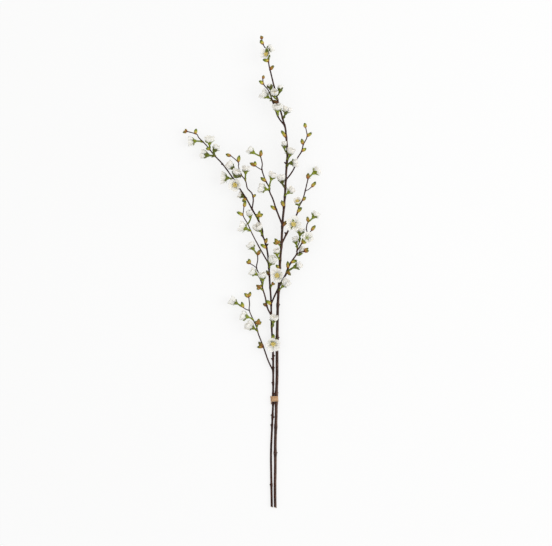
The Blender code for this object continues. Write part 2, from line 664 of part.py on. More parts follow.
def build_bloom(number, bloom, routes, collection, materials, rng):
    """A blossom seated in its calyx; gives back the foot, the seat and the axis for the calyx."""
    open_wide = bloom.opening >= WIDE_OPEN
    rows = LARGE_PETAL_ROWS if open_wide else SMALL_PETAL_ROWS
    name = f"blossom_{number:02d}"
    mesh = blossom_mesh(name, bloom, rows, collection)
    axis = bloom_axis(bloom)
    turn = bloom_turn(axis, rng.uniform(0, math.tau / PETALS))
    foot = nearest_on(routes, *bloom.foot)
    seat = plan(*bloom.seat, foot.z + bloom.lift * MM)
    if number - 1 in RESTING:
        seat.z = -min((turn @ vertex.co).z for vertex in mesh.vertices)
    placed = Matrix.Translation(seat) @ turn
    made = add_object(name, mesh, collection)
    made.matrix_world = placed
    mesh.materials.append(materials["petal"])
    if open_wide:
        tuft_name = f"stamens_{number:02d}"
        tuft = add_object(tuft_name, tuft_mesh(tuft_name), collection)
        tuft.matrix_world = placed
        tuft.data.materials.append(materials["stamen"])
        tuft.data.shade_smooth()
    return foot, seat, axis


def add_bud_group(name, group, routes, rng, collection):
    """The buds of one place on a twig, with their stalk if they share one."""
    place, stalk_end, tips = group
    foot = nearest_on(routes, *place)
    made = []
    if stalk_end:
        end = plan(*stalk_end, foot.z + 1.5 * MM)
        made.append(add_tube(name + "_stalk", [foot, end], [STALK_RADIUS, STALK_RADIUS], collection))
        foot = end
    for i, tip in enumerate(tips):
        reach = (plan(*tip) - Vector((foot.x, foot.y, 0))).length
        height = foot.z + reach * rng.uniform(*BUD_LEAN)
        radius = min(BUD_RADIUS, reach * 0.30)
        made.append(add_bud(f"{name}_{i}", foot, plan(*tip, height), radius, collection))
    return made


def build_branch(name, limbs, stubs, buds, calyces, collection, material, rng):
    """One branch: limbs, stubs, buds and calyces in one solid."""
    routes = build_routes(limbs)
    pieces = [add_tube(key, route.points, route.radii, collection) for key, route in routes.items()]
    for i, stub in enumerate(stubs):
        root = nearest_on(routes, *stub)
        pieces.append(add_stub(f"{name}_stub_{i}", root, plan(*stub, root.z), STUB_RADIUS, collection))
    for i, group in enumerate(buds):
        pieces.extend(add_bud_group(f"{name}_bud_{i}", group, routes, rng, collection))
    for i, (foot, seat, axis) in enumerate(calyces):
        pieces.append(add_calyx(f"{name}_calyx_{i}", foot, seat, axis, collection))
    mesh = fuse(name, pieces)
    weld(mesh, SEAM)
    made = add_object(name, mesh, collection)
    mesh.materials.append(material)
    return made


def tie_outline(rounds):
    """Points and outward directions of a loop over two rounds, seen along the stems."""
    outline = []
    for (x, z, radius), first in zip(rounds, (-90, 90)):
        for step in range(TIE_ARC_STEPS + 1):
            angle = math.radians(first + 180 * step / TIE_ARC_STEPS)
            out = Vector((math.cos(angle), math.sin(angle)))
            outline.append((Vector((x, z)) * MM + out * radius * MM, out))
    return outline


def wrap_profile():
    """Places along the stems and how deep the raffia is there: a flat on each wrap, a groove between."""
    half = TIE_WRAPS * WRAP_WIDTH / 2
    profile = []
    for wrap in range(TIE_WRAPS):
        middle = -half + (wrap + 0.5) * WRAP_WIDTH
        profile.append((middle - WRAP_WIDTH / 2, WRAP_GROOVE))
        profile.append((middle - WRAP_FLAT / 2, 0.0))
        profile.append((middle + WRAP_FLAT / 2, 0.0))
    profile.append((half, WRAP_GROOVE))
    return profile


def build_tie(collection, material):
    """Raffia wound round both stems: a snug band of five wraps, lying on the middle one."""
    bm = bmesh.new()
    profile = wrap_profile()
    half = TIE_WRAPS * WRAP_WIDTH / 2
    loops = []
    for (outer, out), (inner, _) in zip(tie_outline(TIE_OUTSIDE), tie_outline(TIE_INSIDE)):
        loop = []
        for y, groove in profile:
            spot = outer - out * groove
            loop.append(bm.verts.new((spot.x, y, spot.y)))
        for y in (half, -half):
            loop.append(bm.verts.new((inner.x, y, inner.y)))
        loops.append(loop)
    for i in range(len(loops)):
        bridge(bm, loops[i], loops[(i + 1) % len(loops)])
    mesh = mesh_from("raffia_tie", bm)
    mesh.transform(Matrix.Rotation(TIE_TURN, 4, "Z"))
    mesh.materials.append(material)
    return add_object("raffia_tie", mesh, collection)


def main():
    for leftover in list(bpy.data.objects):
        bpy.data.objects.remove(leftover)
    collection = bpy.data.collections.new("quince_blossom_branch")
    bpy.context.scene.collection.children.link(collection)
    materials = {
        "bark": make_material("bark", (0.055, 0.028, 0.020), 0.75),
        "petal": make_material("petal", (0.80, 0.80, 0.76), 0.55),
        "stamen": make_material("stamen", (0.65, 0.48, 0.14), 0.7),
        "raffia": make_material("raffia", (0.50, 0.27, 0.10), 0.8),
    }
    rng = random.Random(SEED)
    routes = {"left": build_routes(LEFT_LIMBS), "right": build_routes(RIGHT_LIMBS)}
    calyces = {"left": [], "right": []}
    for number, bloom in enumerate(BLOOMS, start=1):
        calyx = build_bloom(number, bloom, routes[bloom.branch], collection, materials, rng)
        calyces[bloom.branch].append(calyx)
    bark = materials["bark"]
    build_branch(
        "branch_left", LEFT_LIMBS, LEFT_STUBS, LEFT_BUDS, calyces["left"], collection, bark, rng
    )
    build_branch(
        "branch_right", RIGHT_LIMBS, RIGHT_STUBS, RIGHT_BUDS, calyces["right"], collection, bark, rng
    )
    build_tie(collection, materials["raffia"])


main()
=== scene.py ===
"""Quince blossom branch: two cut flowering branches, tied once with raffia, lying on a pale floor.

Metres, +Z up. The origin is on the floor under the middle of the tie, and the cut ends are
towards -Y. Plan places are in steps of 2.25 mm, x to the right and y towards the cut ends.
"""

import json
import math
import random
from collections import namedtuple

import bmesh
import bpy
from mathutils import Matrix, Vector

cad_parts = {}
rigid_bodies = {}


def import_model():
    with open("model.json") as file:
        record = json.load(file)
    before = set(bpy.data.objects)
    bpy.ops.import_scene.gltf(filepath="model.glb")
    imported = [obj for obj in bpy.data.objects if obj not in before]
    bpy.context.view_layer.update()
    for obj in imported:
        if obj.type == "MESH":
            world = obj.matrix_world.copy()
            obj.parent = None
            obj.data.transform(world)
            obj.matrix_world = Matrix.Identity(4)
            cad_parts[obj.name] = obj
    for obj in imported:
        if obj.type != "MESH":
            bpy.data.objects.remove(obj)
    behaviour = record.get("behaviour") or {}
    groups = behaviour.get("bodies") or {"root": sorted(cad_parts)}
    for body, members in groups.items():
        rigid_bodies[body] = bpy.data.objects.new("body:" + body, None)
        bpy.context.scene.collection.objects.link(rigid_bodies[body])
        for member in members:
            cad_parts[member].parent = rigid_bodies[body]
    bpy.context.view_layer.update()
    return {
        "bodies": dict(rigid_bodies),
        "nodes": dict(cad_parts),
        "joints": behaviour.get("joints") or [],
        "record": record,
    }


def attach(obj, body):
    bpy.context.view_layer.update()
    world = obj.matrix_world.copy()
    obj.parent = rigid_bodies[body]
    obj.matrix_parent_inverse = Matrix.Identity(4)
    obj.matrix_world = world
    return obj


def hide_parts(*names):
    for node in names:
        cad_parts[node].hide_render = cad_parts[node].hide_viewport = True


STEP = 0.00225
TIE_X = 274.4
TIE_Y = 399.0
MM = 0.001
SEED = 7
BODY = "root"

# The picture's frame: its width in plan steps, its middle in the plan, and the lens in mm
FRAME_STEPS = 552.0
FRAME_MIDDLE = (276.0, 273.0)
LENS = 250.0
SENSOR = 36.0
MEAN_HEIGHT = 18.0 * MM
FAR_CLIP = 40.0

# Bark
LINE_STEP = 2.0 * MM
TUBE_SIDES = 14
NODE_SWELL = 0.24
NODE_REACH = 1.5
BARK_FULLNESS = 1.08
BARK_SKIN = 0.06 * MM
KNOT_SPREAD = 0.6 * MM
REST_CLEARANCE = 0.05 * MM
PRESSED_BELOW = 0.12 * MM
PRESSED_SHARE = 0.08
THIN_BARK = (0.8 * MM, 2.1 * MM)
BARK_LUMP = 0.3 * MM
BARK_LUMP_SIZE = (5.0 * MM,) * 3
STUB_LUMP_SIZE = (2.5 * MM,) * 3
STUB_SIDES = 10
RING_PLACE = 2.0 * MM
CUT_REACH = 6.0 * MM
CUT_SLANT_ACROSS = -0.35
CUT_SLANT_UP = 0.25
CUT_RIM = 0.5 * MM
STUB_RADIUS = 1.45 * MM
STUB_SHAPE = ((0.0, 2.1), (0.35, 1.75), (0.6, 1.35), (0.8, 1.1), (0.95, 0.95), (1.05, 0.5))
DOT_SIZES = {"Density": 15000.0, "Dot Size": 0.32 * MM, "Flatness": 0.35}

# Hairs on the buds, stalks and calyces
HAIR_SIZES = {"Density": 250000.0, "Length": 0.9 * MM, "Radius": 0.035 * MM, "Seed": SEED}
HAIR_LEAN = 0.7

# Flowers. The petals' half angles, claw widths, cups and nodes are pairs, for a closed and for an open
# blossom. The nodes are shares of the cup's width and depth. Other pairs are ranges to draw from.
PETALS = 5
PETAL_THICKNESS = 0.35 * MM
PETAL_GRID = {"columns": 13, "rows": 15}
PETAL_LAP = 1.0 * MM
PETAL_RUFFLE = 1.3 * MM
VEIN_TURNS = 34.0
PETAL_HALF_ANGLES = (61.0, 38.0)
CLAW_WIDTHS = (0.5, 0.85)
PETAL_CUPS = (0.6 * MM, 1.2 * MM)
PETAL_NOTCH = (0.02, 0.07)
PETAL_TONES = (0.3, 0.7)
PETAL_SWAY = 0.09
NOTCH_NARROWNESS = -39.0
CLAW_RADIUS = 2.0 * MM
CLAW_HEIGHT = 1.1 * MM
PETAL_NODES = (((0.42, 0.24), (0.06, 0.22)), ((0.56, 0.40), (0.55, 0.80)), ((0.40, 0.50), (1.0, 1.0)))
SEPALS = 5
SEPAL_THICKNESS = 0.4 * MM
SEPAL_LENGTH = (9.0 * MM, 12.5 * MM)
SEPAL_SHIFT = (0.35 * MM, -1.0 * MM, 0.0)
SEPAL_TIP_OUT = (0.5, 3.0)
SEPAL_TIP_UP = (-1.5, 0.0)
SEPAL_HALF_ANGLE = math.radians(50.0)
BRACT_HALF_ANGLE = math.radians(48.0)
SEPAL_SHEET = {
    "rows": 9, "foot_width": 0.9, "point": 1.0, "lap": 0.0, "cup": -0.3 * MM, "ruffle": 0.5 * MM,
    "notch": 0.0,
}
BRACT_LENGTH = (6.0 * MM, 10.0 * MM)
BRACT_SHAPE = ((1.2, 0.0), (2.2, 0.3), (3.0, 0.7), (3.4, 1.0))
STALK_RADIUS = 1.8 * MM
STALK_SIDES = 10
STALK_STEPS = 7
STALK_BEND = 0.18
STALK_WANDER = 0.08
STALK_FOOT = 1.25
STALK_TONES = (0.25, 0.8)
STALK_LUMP = 0.15 * MM
STALK_LUMP_SIZE = (2.0 * MM,) * 3
NECK_DROP = 4.8 * MM
NECK_RADIUS = 2.6 * MM
URN = ((0.2, 0.95), (0.4, 1.2), (0.6, 1.45), (0.8, 1.6), (1.0, 1.55), (1.08, 1.2))
STAMENS = 26
STYLES = 5
STAMEN_SPREAD_CUP = 3.2 * MM
STAMEN_SPREAD_OPEN = 5.2 * MM
STAMEN_HEIGHT = 8.0 * MM
STAMEN_FOOT = 1.5 * MM
STAMEN_LENGTHS = (0.82, 1.08)
STAMEN_DEPTH = 0.62
HALF_OPEN = 0.4
FILAMENT_RADIUS = 0.2 * MM
FILAMENT_SIDES = 5
STYLE_SIZES = (1.4, 1.2, 1.2, 2.0)
ANTHER = 0.95 * MM
LOBE_SHIFT = 0.45
LOBE_SCALE = (0.55, 0.7, 1.25)
GOLDEN_ANGLE = 2.39996
CLOSED = 0.25
WIDE_OPEN = 0.9

# Buds: the core as (share of its length, share of its radius), and the outer and inner scales as
# count, half angle in degrees and line nodes (share of the radius, share of the length)
BUD_RADIUS = 3.1 * MM
BUD_FATNESS = 0.3
BUD_LEAN = (-0.25, 0.40)
BUD_STALK_LIFT = 1.5 * MM
SCALE_THICKNESS = 0.3 * MM
SCALE_TURN = 0.9
SCALE_SHEET = {
    "columns": 7, "rows": 9, "foot_width": 0.8, "point": 0.75, "lap": 0.25 * MM, "cup": -0.25 * MM,
    "ruffle": 0.25 * MM, "notch": 0.0, "sway": 0.05,
}
BUD_SIDES = 10
BUD_STALK_RADIUS = 2.16 * MM
BUD_TONE_SPREAD = 0.08
BUD_CORE = (
    (0.0, 0.32), (0.08, 0.55), (0.25, 0.88), (0.42, 1.0), (0.58, 0.98), (0.74, 0.82), (0.87, 0.52),
    (0.95, 0.27), (1.0, 0.06),
)
BUD_SCALES = (
    (3, 66.0, ((0.42, 0.0), (1.35, 0.16), (1.35, 0.55), (0.72, 0.84))),
    (3, 62.0, ((0.5, 0.12), (1.25, 0.36), (1.15, 0.80), (0.10, 1.02))),
)

# Raffia tie: the middles and radii, in mm, of the two rounds that it runs over, and the waves of its
# fibres as (size, pace, shift)
TIE_TURN = math.radians(5.0)
TIE_WRAPS = 5
TIE_STEPS = 40
WRAP_WIDTH = 2.9 * MM
FIBRES_IN_WRAP = 4
FIBRE_RADII = (0.34 * MM, 0.5 * MM)
FIBRE_SIDES = 8
FIBRE_SWELL = (-0.25, 0.15)
FIBRE_TONES = (0.2, 0.9)
FIBRE_PACE = 0.37
FIBRE_LUMP = 0.12 * MM
FIBRE_LUMP_SIZE = (0.6 * MM, 2.0 * MM, 2.0 * MM)
TIE_END_STEPS = 10
SWELL_WAVES = ((0.2 * MM, 9.0, 1),)
WANDER_WAVES = ((0.28 * MM, 5.3, 1), (0.2 * MM, 13.0, 2))
TIE_ROUNDS = ((4.4, 4.9, 4.1), (-4.2, 4.75, 4.3))
TIE_ENDS = (
    ((-7.6, -1.0, 7.2), (-9.2, -7.0, 6.4), (-8.3, -12.6, 4.0)),
    ((-6.4, -2.0, 8.4), (-7.4, -7.5, 8.6), (-8.9, -10.6, 6.8)),
)

# Colours, as seen on a screen
BARK_DARK = (0.14, 0.08, 0.055)
BARK_RED = (0.27, 0.135, 0.09)
BARK_THIN = (0.22, 0.125, 0.09)
BARK_FILM_AND_HIGHLIGHT = (0.62, 0.49, 0.415)
BARK_CRACK = (0.085, 0.055, 0.04)
LENTICEL_COLOURS = ((0.45, 0.36, 0.30), (0.62, 0.54, 0.46))
CUT_COLOURS = ((0.80, 0.70, 0.52), (0.60, 0.47, 0.32))
BUD_SPECK = (0.38, 0.30, 0.10)
CALYX_SPECK = (0.56, 0.62, 0.20)
PETAL_FOOT = (0.87, 0.89, 0.66)
PETAL_WHITE = (0.955, 0.945, 0.907)
PETAL_VEIN = (0.86, 0.87, 0.79)
PETAL_BLUSH = (0.95, 0.88, 0.84)
PETAL_GLOW = (1.0, 0.98, 0.88)
POWDERY_COLOURS = {
    "hair": ((0.78, 0.80, 0.46), (0.58, 0.60, 0.28)), "filament": ((0.93, 0.93, 0.79), (0.86, 0.87, 0.64)),
    "anther": ((0.97, 0.91, 0.56), (0.94, 0.82, 0.42)), "style": ((0.72, 0.78, 0.45), (0.56, 0.66, 0.30)),
}
RAFFIA_PALE = (0.98, 0.86, 0.67)
RAFFIA_DEEP = (0.76, 0.52, 0.32)
RAFFIA_STREAK_AND_SHADE = (0.44, 0.27, 0.14)
FLOOR_PALE = (0.50, 0.50, 0.498)
FLOOR_SHADE = (0.49, 0.49, 0.488)

# Patches and fibres on the materials: the size in mm, and the contrast or the stretch
BARK_PATCHES = (9.0, 2.4)
BARK_GRAIN = (1.5, 2.0)
BARK_FIBRES = (0.5, 6.0)
SCALE_PATCHES = (2.2, 2.0)
SCALE_GRAIN = (0.5, 2.0)
PETAL_PATCHES = (12.0, 2.0)
RAFFIA_PATCHES = (4.0, 1.8)
RAFFIA_FIBRES = (0.3, 14.0)

# Reliefs in mm, and the range of the roughness
BARK_RELIEF = 0.25
BARK_ROUGHNESS = (0.8, 0.42)
SCALE_RELIEF = 0.1
SCALE_ROUGHNESS = (0.38, 0.6)
PETAL_RELIEF = 0.08
PETAL_ROUGHNESS = (0.45, 0.6)
RAFFIA_RELIEF = 0.2

# Light: the lamps' names, places, aims, sides in metres and powers in watts. The floor glows a
# little, so that it stays as pale by the blossoms as at the frame's edge.
FLOOR_SIDE = 12.0
FLOOR_GLOW = 0.748
WHITE_LIGHT = (1.0, 1.0, 1.0, 1.0)
SKY_STRENGTH = 0.8
LAMPS = (
    ("key", (2.4, 0.7, 2.4), (0.0, 0.3, 0.0), 2.8, 42.0),
    ("top", (-0.6, 0.3, 3.4), (0.0, 0.3, 0.0), 3.0, 12.0),
)

Line = namedtuple("Line", "points radii tone")
Limb = namedtuple("Limb", "name parent heights widths points")
Bloom = namedtuple("Bloom", "branch foot seat face width depth opening tilt lift")

# Heights are in mm: above the surface on a main stem, above its fork on a twig.
# Widths are diameters in mm. Both are spaced evenly along the limb.
LEFT_LIMBS = [
    Limb("left_stem", None, (2.04, 2.7, 3.4, 4.3, 7.8, 13.0, 18.0, 21.5, 23.0, 20.0, 15.0),
         (4.7, 4.5, 4.3, 4.2, 4.0, 3.8, 3.6, 3.4, 3.0, 2.6, 1.9), [
        (271.8, 507.5), (271.4, 485), (271, 455), (271.8, 432), (272.9, 408), (273.1, 395), (273.2, 370),
        (273, 353), (272, 334), (271.3, 315), (271, 300), (269.8, 283), (268.8, 266), (267.4, 252),
        (264.8, 241), (262.6, 235.5), (262.3, 230), (258.5, 220.5), (252, 209), (247, 199.8),
        (240.3, 189.5), (232.3, 177.3), (222.5, 164), (214.5, 155.5), (206.5, 145.5), (198.7, 137.5),
        (196.5, 134.2), (186.8, 131.3),
    ]),
    Limb("low_left_twig", "left_stem", (0, 4, 8.5), (3.0, 2.4, 1.9), [
        (272.9, 371), (268.3, 361), (263, 346), (258.5, 334.5), (256.5, 327), (252.8, 319),
        (249.3, 310.3), (249.5, 304), (248.7, 297),
    ]),
    Limb("low_left_side_twig", "low_left_twig", (0, 0.5), (2.0, 1.7), [
        (249.3, 310.3), (246, 309.3), (241.2, 306),
    ]),
    Limb("second_left_twig", "left_stem", (0, 5, 9), (2.8, 2.2, 1.8), [
        (271, 315.5), (267.3, 307.5), (265.2, 297), (262.6, 288.5), (262.3, 284.7), (259.5, 277),
        (258.8, 273.5), (256.5, 267.7), (257.7, 260), (257.6, 255),
    ]),
    Limb("second_left_side_twig", "second_left_twig", (0, 2), (1.9, 1.7), [
        (256.5, 267.7), (253, 265.3), (250, 263.5),
    ]),
    Limb("third_left_twig", "left_stem", (0, 5, 8), (3.0, 2.3, 1.8), [
        (268.6, 263.5), (262.5, 253), (257.5, 244), (252.3, 234), (247.7, 224), (243.3, 216),
        (243.5, 211), (244, 207),
    ]),
    Limb("top_left_twig", "left_stem", (0, 8, 12), (2.9, 2.3, 1.8), [
        (252, 209), (253.3, 200), (251.8, 193.3), (247.5, 188.5), (245.6, 181), (241.7, 175.4),
        (238.6, 167), (238.3, 162.5), (231, 156),
    ]),
    Limb("crossing_twig", "left_stem", (0, -4, 4, 9), (2.2, 3.0, 2.7, 2.1), [
        (271.7, 304), (275.5, 294), (281, 283), (286, 274), (288.5, 267), (292.3, 260.5), (296.7, 254),
        (296.8, 251),
    ]),
    Limb("crossing_twig_tip", "crossing_twig", (0, 1), (1.9, 1.7), [
        (296.8, 251), (297.4, 247.5), (299.5, 241.5),
    ]),
    Limb("crossing_twig_fork", "crossing_twig", (0, 2, 3), (2.2, 1.9, 1.7), [
        (296.8, 251), (300.5, 245.5), (305, 238), (307.3, 234), (306.4, 229), (307, 224.5),
        (308.3, 221.7),
    ]),
    Limb("crossing_twig_fork_tip", "crossing_twig_fork", (0, 1), (1.7, 1.6), [
        (307.3, 234), (309.7, 232.3), (311.5, 230.5),
    ]),
    Limb("crossing_twig_side", "crossing_twig", (0, -1), (2.0, 1.7), [
        (296.7, 254), (299.5, 252.6), (304.2, 251.3),
    ]),
]

RIGHT_LIMBS = [
    Limb("right_stem", None, (2.52, 3.5, 4.4, 6.0, 10.5, 16.5, 22.0, 26.5, 30.0, 32.0, 31.0),
         (5.8, 6.0, 6.2, 6.2, 5.8, 5.2, 4.8, 4.4, 3.9, 3.2, 2.0), [
        (275.2, 508), (275, 488), (275.3, 465), (275.3, 442), (276.2, 413), (276.3, 396), (277, 376),
        (277, 348), (277.3, 328), (277.7, 308), (278.5, 292), (279.4, 277), (280.1, 260), (281.4, 245),
        (282.5, 223), (283.8, 209), (285.1, 193), (286.2, 172), (287.2, 158.5), (287.2, 149),
        (286.5, 140), (285.4, 129), (283.3, 121), (280, 109), (277.3, 99), (273.6, 84.5), (271, 74),
        (268.7, 63.5), (268.3, 52), (264, 46.5), (261.5, 38.5),
    ]),
    Limb("low_right_twig", "right_stem", (0, 2, 0, -5), (3.0, 2.6, 2.1, 1.8), [
        (281.7, 244.5), (285.7, 235.5), (290, 227.5), (297, 213.8), (299, 206.5), (302.5, 200),
        (304.5, 193.7), (306, 187.5), (308.2, 178),
    ]),
    Limb("low_right_side_twig", "low_right_twig", (0, 1), (1.8, 1.6), [
        (305.8, 191), (308.5, 189.5), (311.5, 187),
    ]),
    Limb("second_right_twig", "right_stem", (0, -4, -3, 1, 4), (3.2, 2.8, 2.6, 2.2, 1.8), [
        (286.2, 180), (290, 175), (294.6, 167.3), (297, 159), (301.5, 151.5), (303.3, 144.7), (307, 137),
        (306, 129.5), (305.6, 127.7),
    ]),
    Limb("third_right_twig", "right_stem", (0, 6, 10, 12), (3.2, 2.6, 2.2, 1.8), [
        (282.4, 225), (279, 216.5), (275.8, 208.3), (273, 199.5), (269.7, 192), (269.5, 188),
        (265.5, 180.5), (262, 170), (262.3, 164), (260.5, 156.3),
    ]),
    Limb("third_right_side_twig", "third_right_twig", (0, 2), (1.9, 1.7), [
        (262, 170), (259.5, 168.8), (255.3, 166.2),
    ]),
    Limb("top_right_twig", "right_stem", (0, 4, 8), (2.9, 2.4, 1.8), [
        (283.8, 125.8), (279, 118.5), (275.5, 110.5), (272, 100), (268.5, 91), (263.8, 85), (262.8, 79),
    ]),
]

# Knots and cut stubs on the bark: the place of each one's tip
LEFT_STUBS = [
    (269.8, 485.5), (270.5, 425.6), (274.3, 417.8), (270.9, 415.8), (271.6, 383.3), (274.6, 368.2),
    (274.8, 356.3), (271.2, 359.3), (274.0, 325.8), (268.2, 245.0), (260.9, 236.0), (221.2, 164.8),
    (274.6, 394.2), (274.9, 403.6), (271.2, 403.8),
]
RIGHT_STUBS = [
    (277.2, 453.5), (278.2, 393.6), (279.2, 338.3), (279.8, 305.3), (284.7, 233.2), (284.4, 163.5),
    (274.3, 426.8), (274.9, 394.6), (274.6, 402.8),
]
LIMBS = {"left": LEFT_LIMBS, "right": RIGHT_LIMBS}
STUBS = {"left": LEFT_STUBS, "right": RIGHT_STUBS}
SIDES = ("left", "right")

# Buds: the place on the twig that they share, and of each one its tip and how far it has turned
# from a dark red-brown (-1) over brown (0) to green (1). Below 0 the darkening is partly the bud's
# own colour and partly painted shade for buds that lie in shade.
LEFT_BUDS = [
    ((186.8, 131.3), [(182.8, 132.3, -0.3), (185, 129, 0.0)]),
    ((195.4, 133.9), [(196, 128.6, 0.9)]),
    ((210, 149.7), [(206, 148, 1.0)]),
    ((230.8, 156), [(225.8, 154.5, 0.3)]),
    ((238.4, 162.3), [(239.3, 155.5, 0.7)]),
    ((252.8, 197), [(255.8, 194.6, 0.5)]),
    ((245.3, 198.5), [(242.5, 202, 0.3)]),
    ((244, 206.7), [(245.7, 201.0, 0.5)]),
    ((243.2, 215.3), [(236.8, 211.8, 0.8)]),
    ((258.8, 220), [(259.5, 210.8, 0.5), (263, 214, 0.5), (255.8, 214.3, 0.5)]),
    ((266, 243.3), [(266.9, 238.0, 0.1)]),
    ((265.8, 248.2), [(260.5, 244, 0.7)]),
    ((311.5, 230.7), [(315.3, 225.3, 0.3)]),
    ((302.2, 243.1), [(304, 237.6, 0.7), (308.0, 240.9, 0.8)]),
    ((304.2, 251.4), [(308.3, 248, -0.2), (308.8, 251.2, -0.3)]),
    ((308.4, 221.7), [(307.3, 216.7, 0.3)]),
    ((287.5, 268), [(287.8, 261, 0.3)]),
    ((292, 263), [(297, 260.3, 0.8)]),
    ((287.5, 271), [(290.6, 275.5, -0.3)]),
    ((268.9, 275.5), [(266.5, 270.3, -0.9)]),
    ((249.8, 263.5), [(246.3, 261.3, 0.1), (248.8, 258.9, 0.5)]),
    ((257.6, 254.7), [(260, 250, -0.1)]),
    ((262.6, 290.5), [(256.3, 284.8, -0.6), (256.7, 289.3, -0.1), (261, 284.5, 0.2)]),
    ((270.2, 287.8), [(273, 281.7, -0.2), (275, 283.5, -0.1)]),
    ((271, 304.8), [(266.0, 300, 0.8)]),
    ((267, 306), [(263.0, 303.5, -0.8)]),
    ((248.7, 297), [(244.3, 293.4, 0.4), (250.7, 291.8, 0.3)]),
    ((243.6, 307.2), [(241.4, 301.9, 0.9)]),
    ((256.8, 327.5), [(258.9, 318.6, -0.2), (261.5, 322.3, 0.1), (255.1, 321.3, -0.3)]),
    ((262.9, 347), [(258.5, 341.8, -0.8), (257.3, 347, -0.1)]),
    ((272.5, 341), [(273.7, 334, 0.7)]),
]
RIGHT_BUDS = [
    ((261.5, 39.5), [(261.0, 36.0, -0.2), (262.6, 36.6, -0.1)]),
    ((263.2, 44.7), [(260.1, 40.6, 0.95)]),
    ((268, 61.8), [(262.8, 59.8, 1.0)]),
    ((270.3, 69.8), [(273.7, 66.0, -0.1)]),
    ((262.8, 79.3), [(263.7, 75.6, -0.1)]),
    ((263.5, 84.5), [(259.0, 81, 0.95)]),
    ((276.5, 104.5), [(271, 100.5, -1.2)]),
    ((286, 137.8), [(281.2, 130.8, 0.5)]),
    ((305.8, 127.8), [(304.5, 123, 0.7)]),
    ((307.3, 136.5), [(311.8, 133, 0.5)]),
    ((303.3, 144.5), [(301.3, 139, 0.4)]),
    ((302, 151.3), [(306.3, 148.2, 0.9)]),
    ((307.9, 179.0), [(308.2, 172.8, -0.2)]),
    ((311.6, 186.8), [(316, 181.8, 0.4)]),
    ((303, 200.5), [(306, 197, 0.3)]),
    ((298, 212.5), [(301.5, 207.3, 0.4)]),
    ((255.2, 166.2), [(250.0, 163, -0.4), (255, 161.4, 0.9)]),
    ((260.4, 156.2), [(261.3, 150.3, 0.2)]),
    ((265.5, 181.8), [(260.6, 177.5, 0.5)]),
    ((276, 209.8), [(270.3, 205.5, 0.6)]),
    ((284, 206.7), [(281.5, 200.5, 0.3)]),
    ((283, 226.5), [(287.8, 220.3, -0.5)]),
    ((280.8, 247), [(274.8, 238.3, 0.1), (273.2, 242.7, 0.0), (279.7, 240.2, 0.0)]),
    ((279.7, 268.5), [(275.7, 265, 0.7)]),
    ((266.6, 50.6), [(270.3, 49.8, 0.9)]),
]
BUDS = {"left": LEFT_BUDS, "right": RIGHT_BUDS}
BUD_GREENING = 0.15

# The ends of the stalks on which some buds sit, by the place on the twig
BUD_STALKS = {
    (258.8, 220): (258.7, 216.5), (262.6, 290.5): (260, 288), (270.2, 287.8): (272, 284.5),
    (256.8, 327.5): (257.8, 324), (280.8, 247): (278.3, 243.5),
}

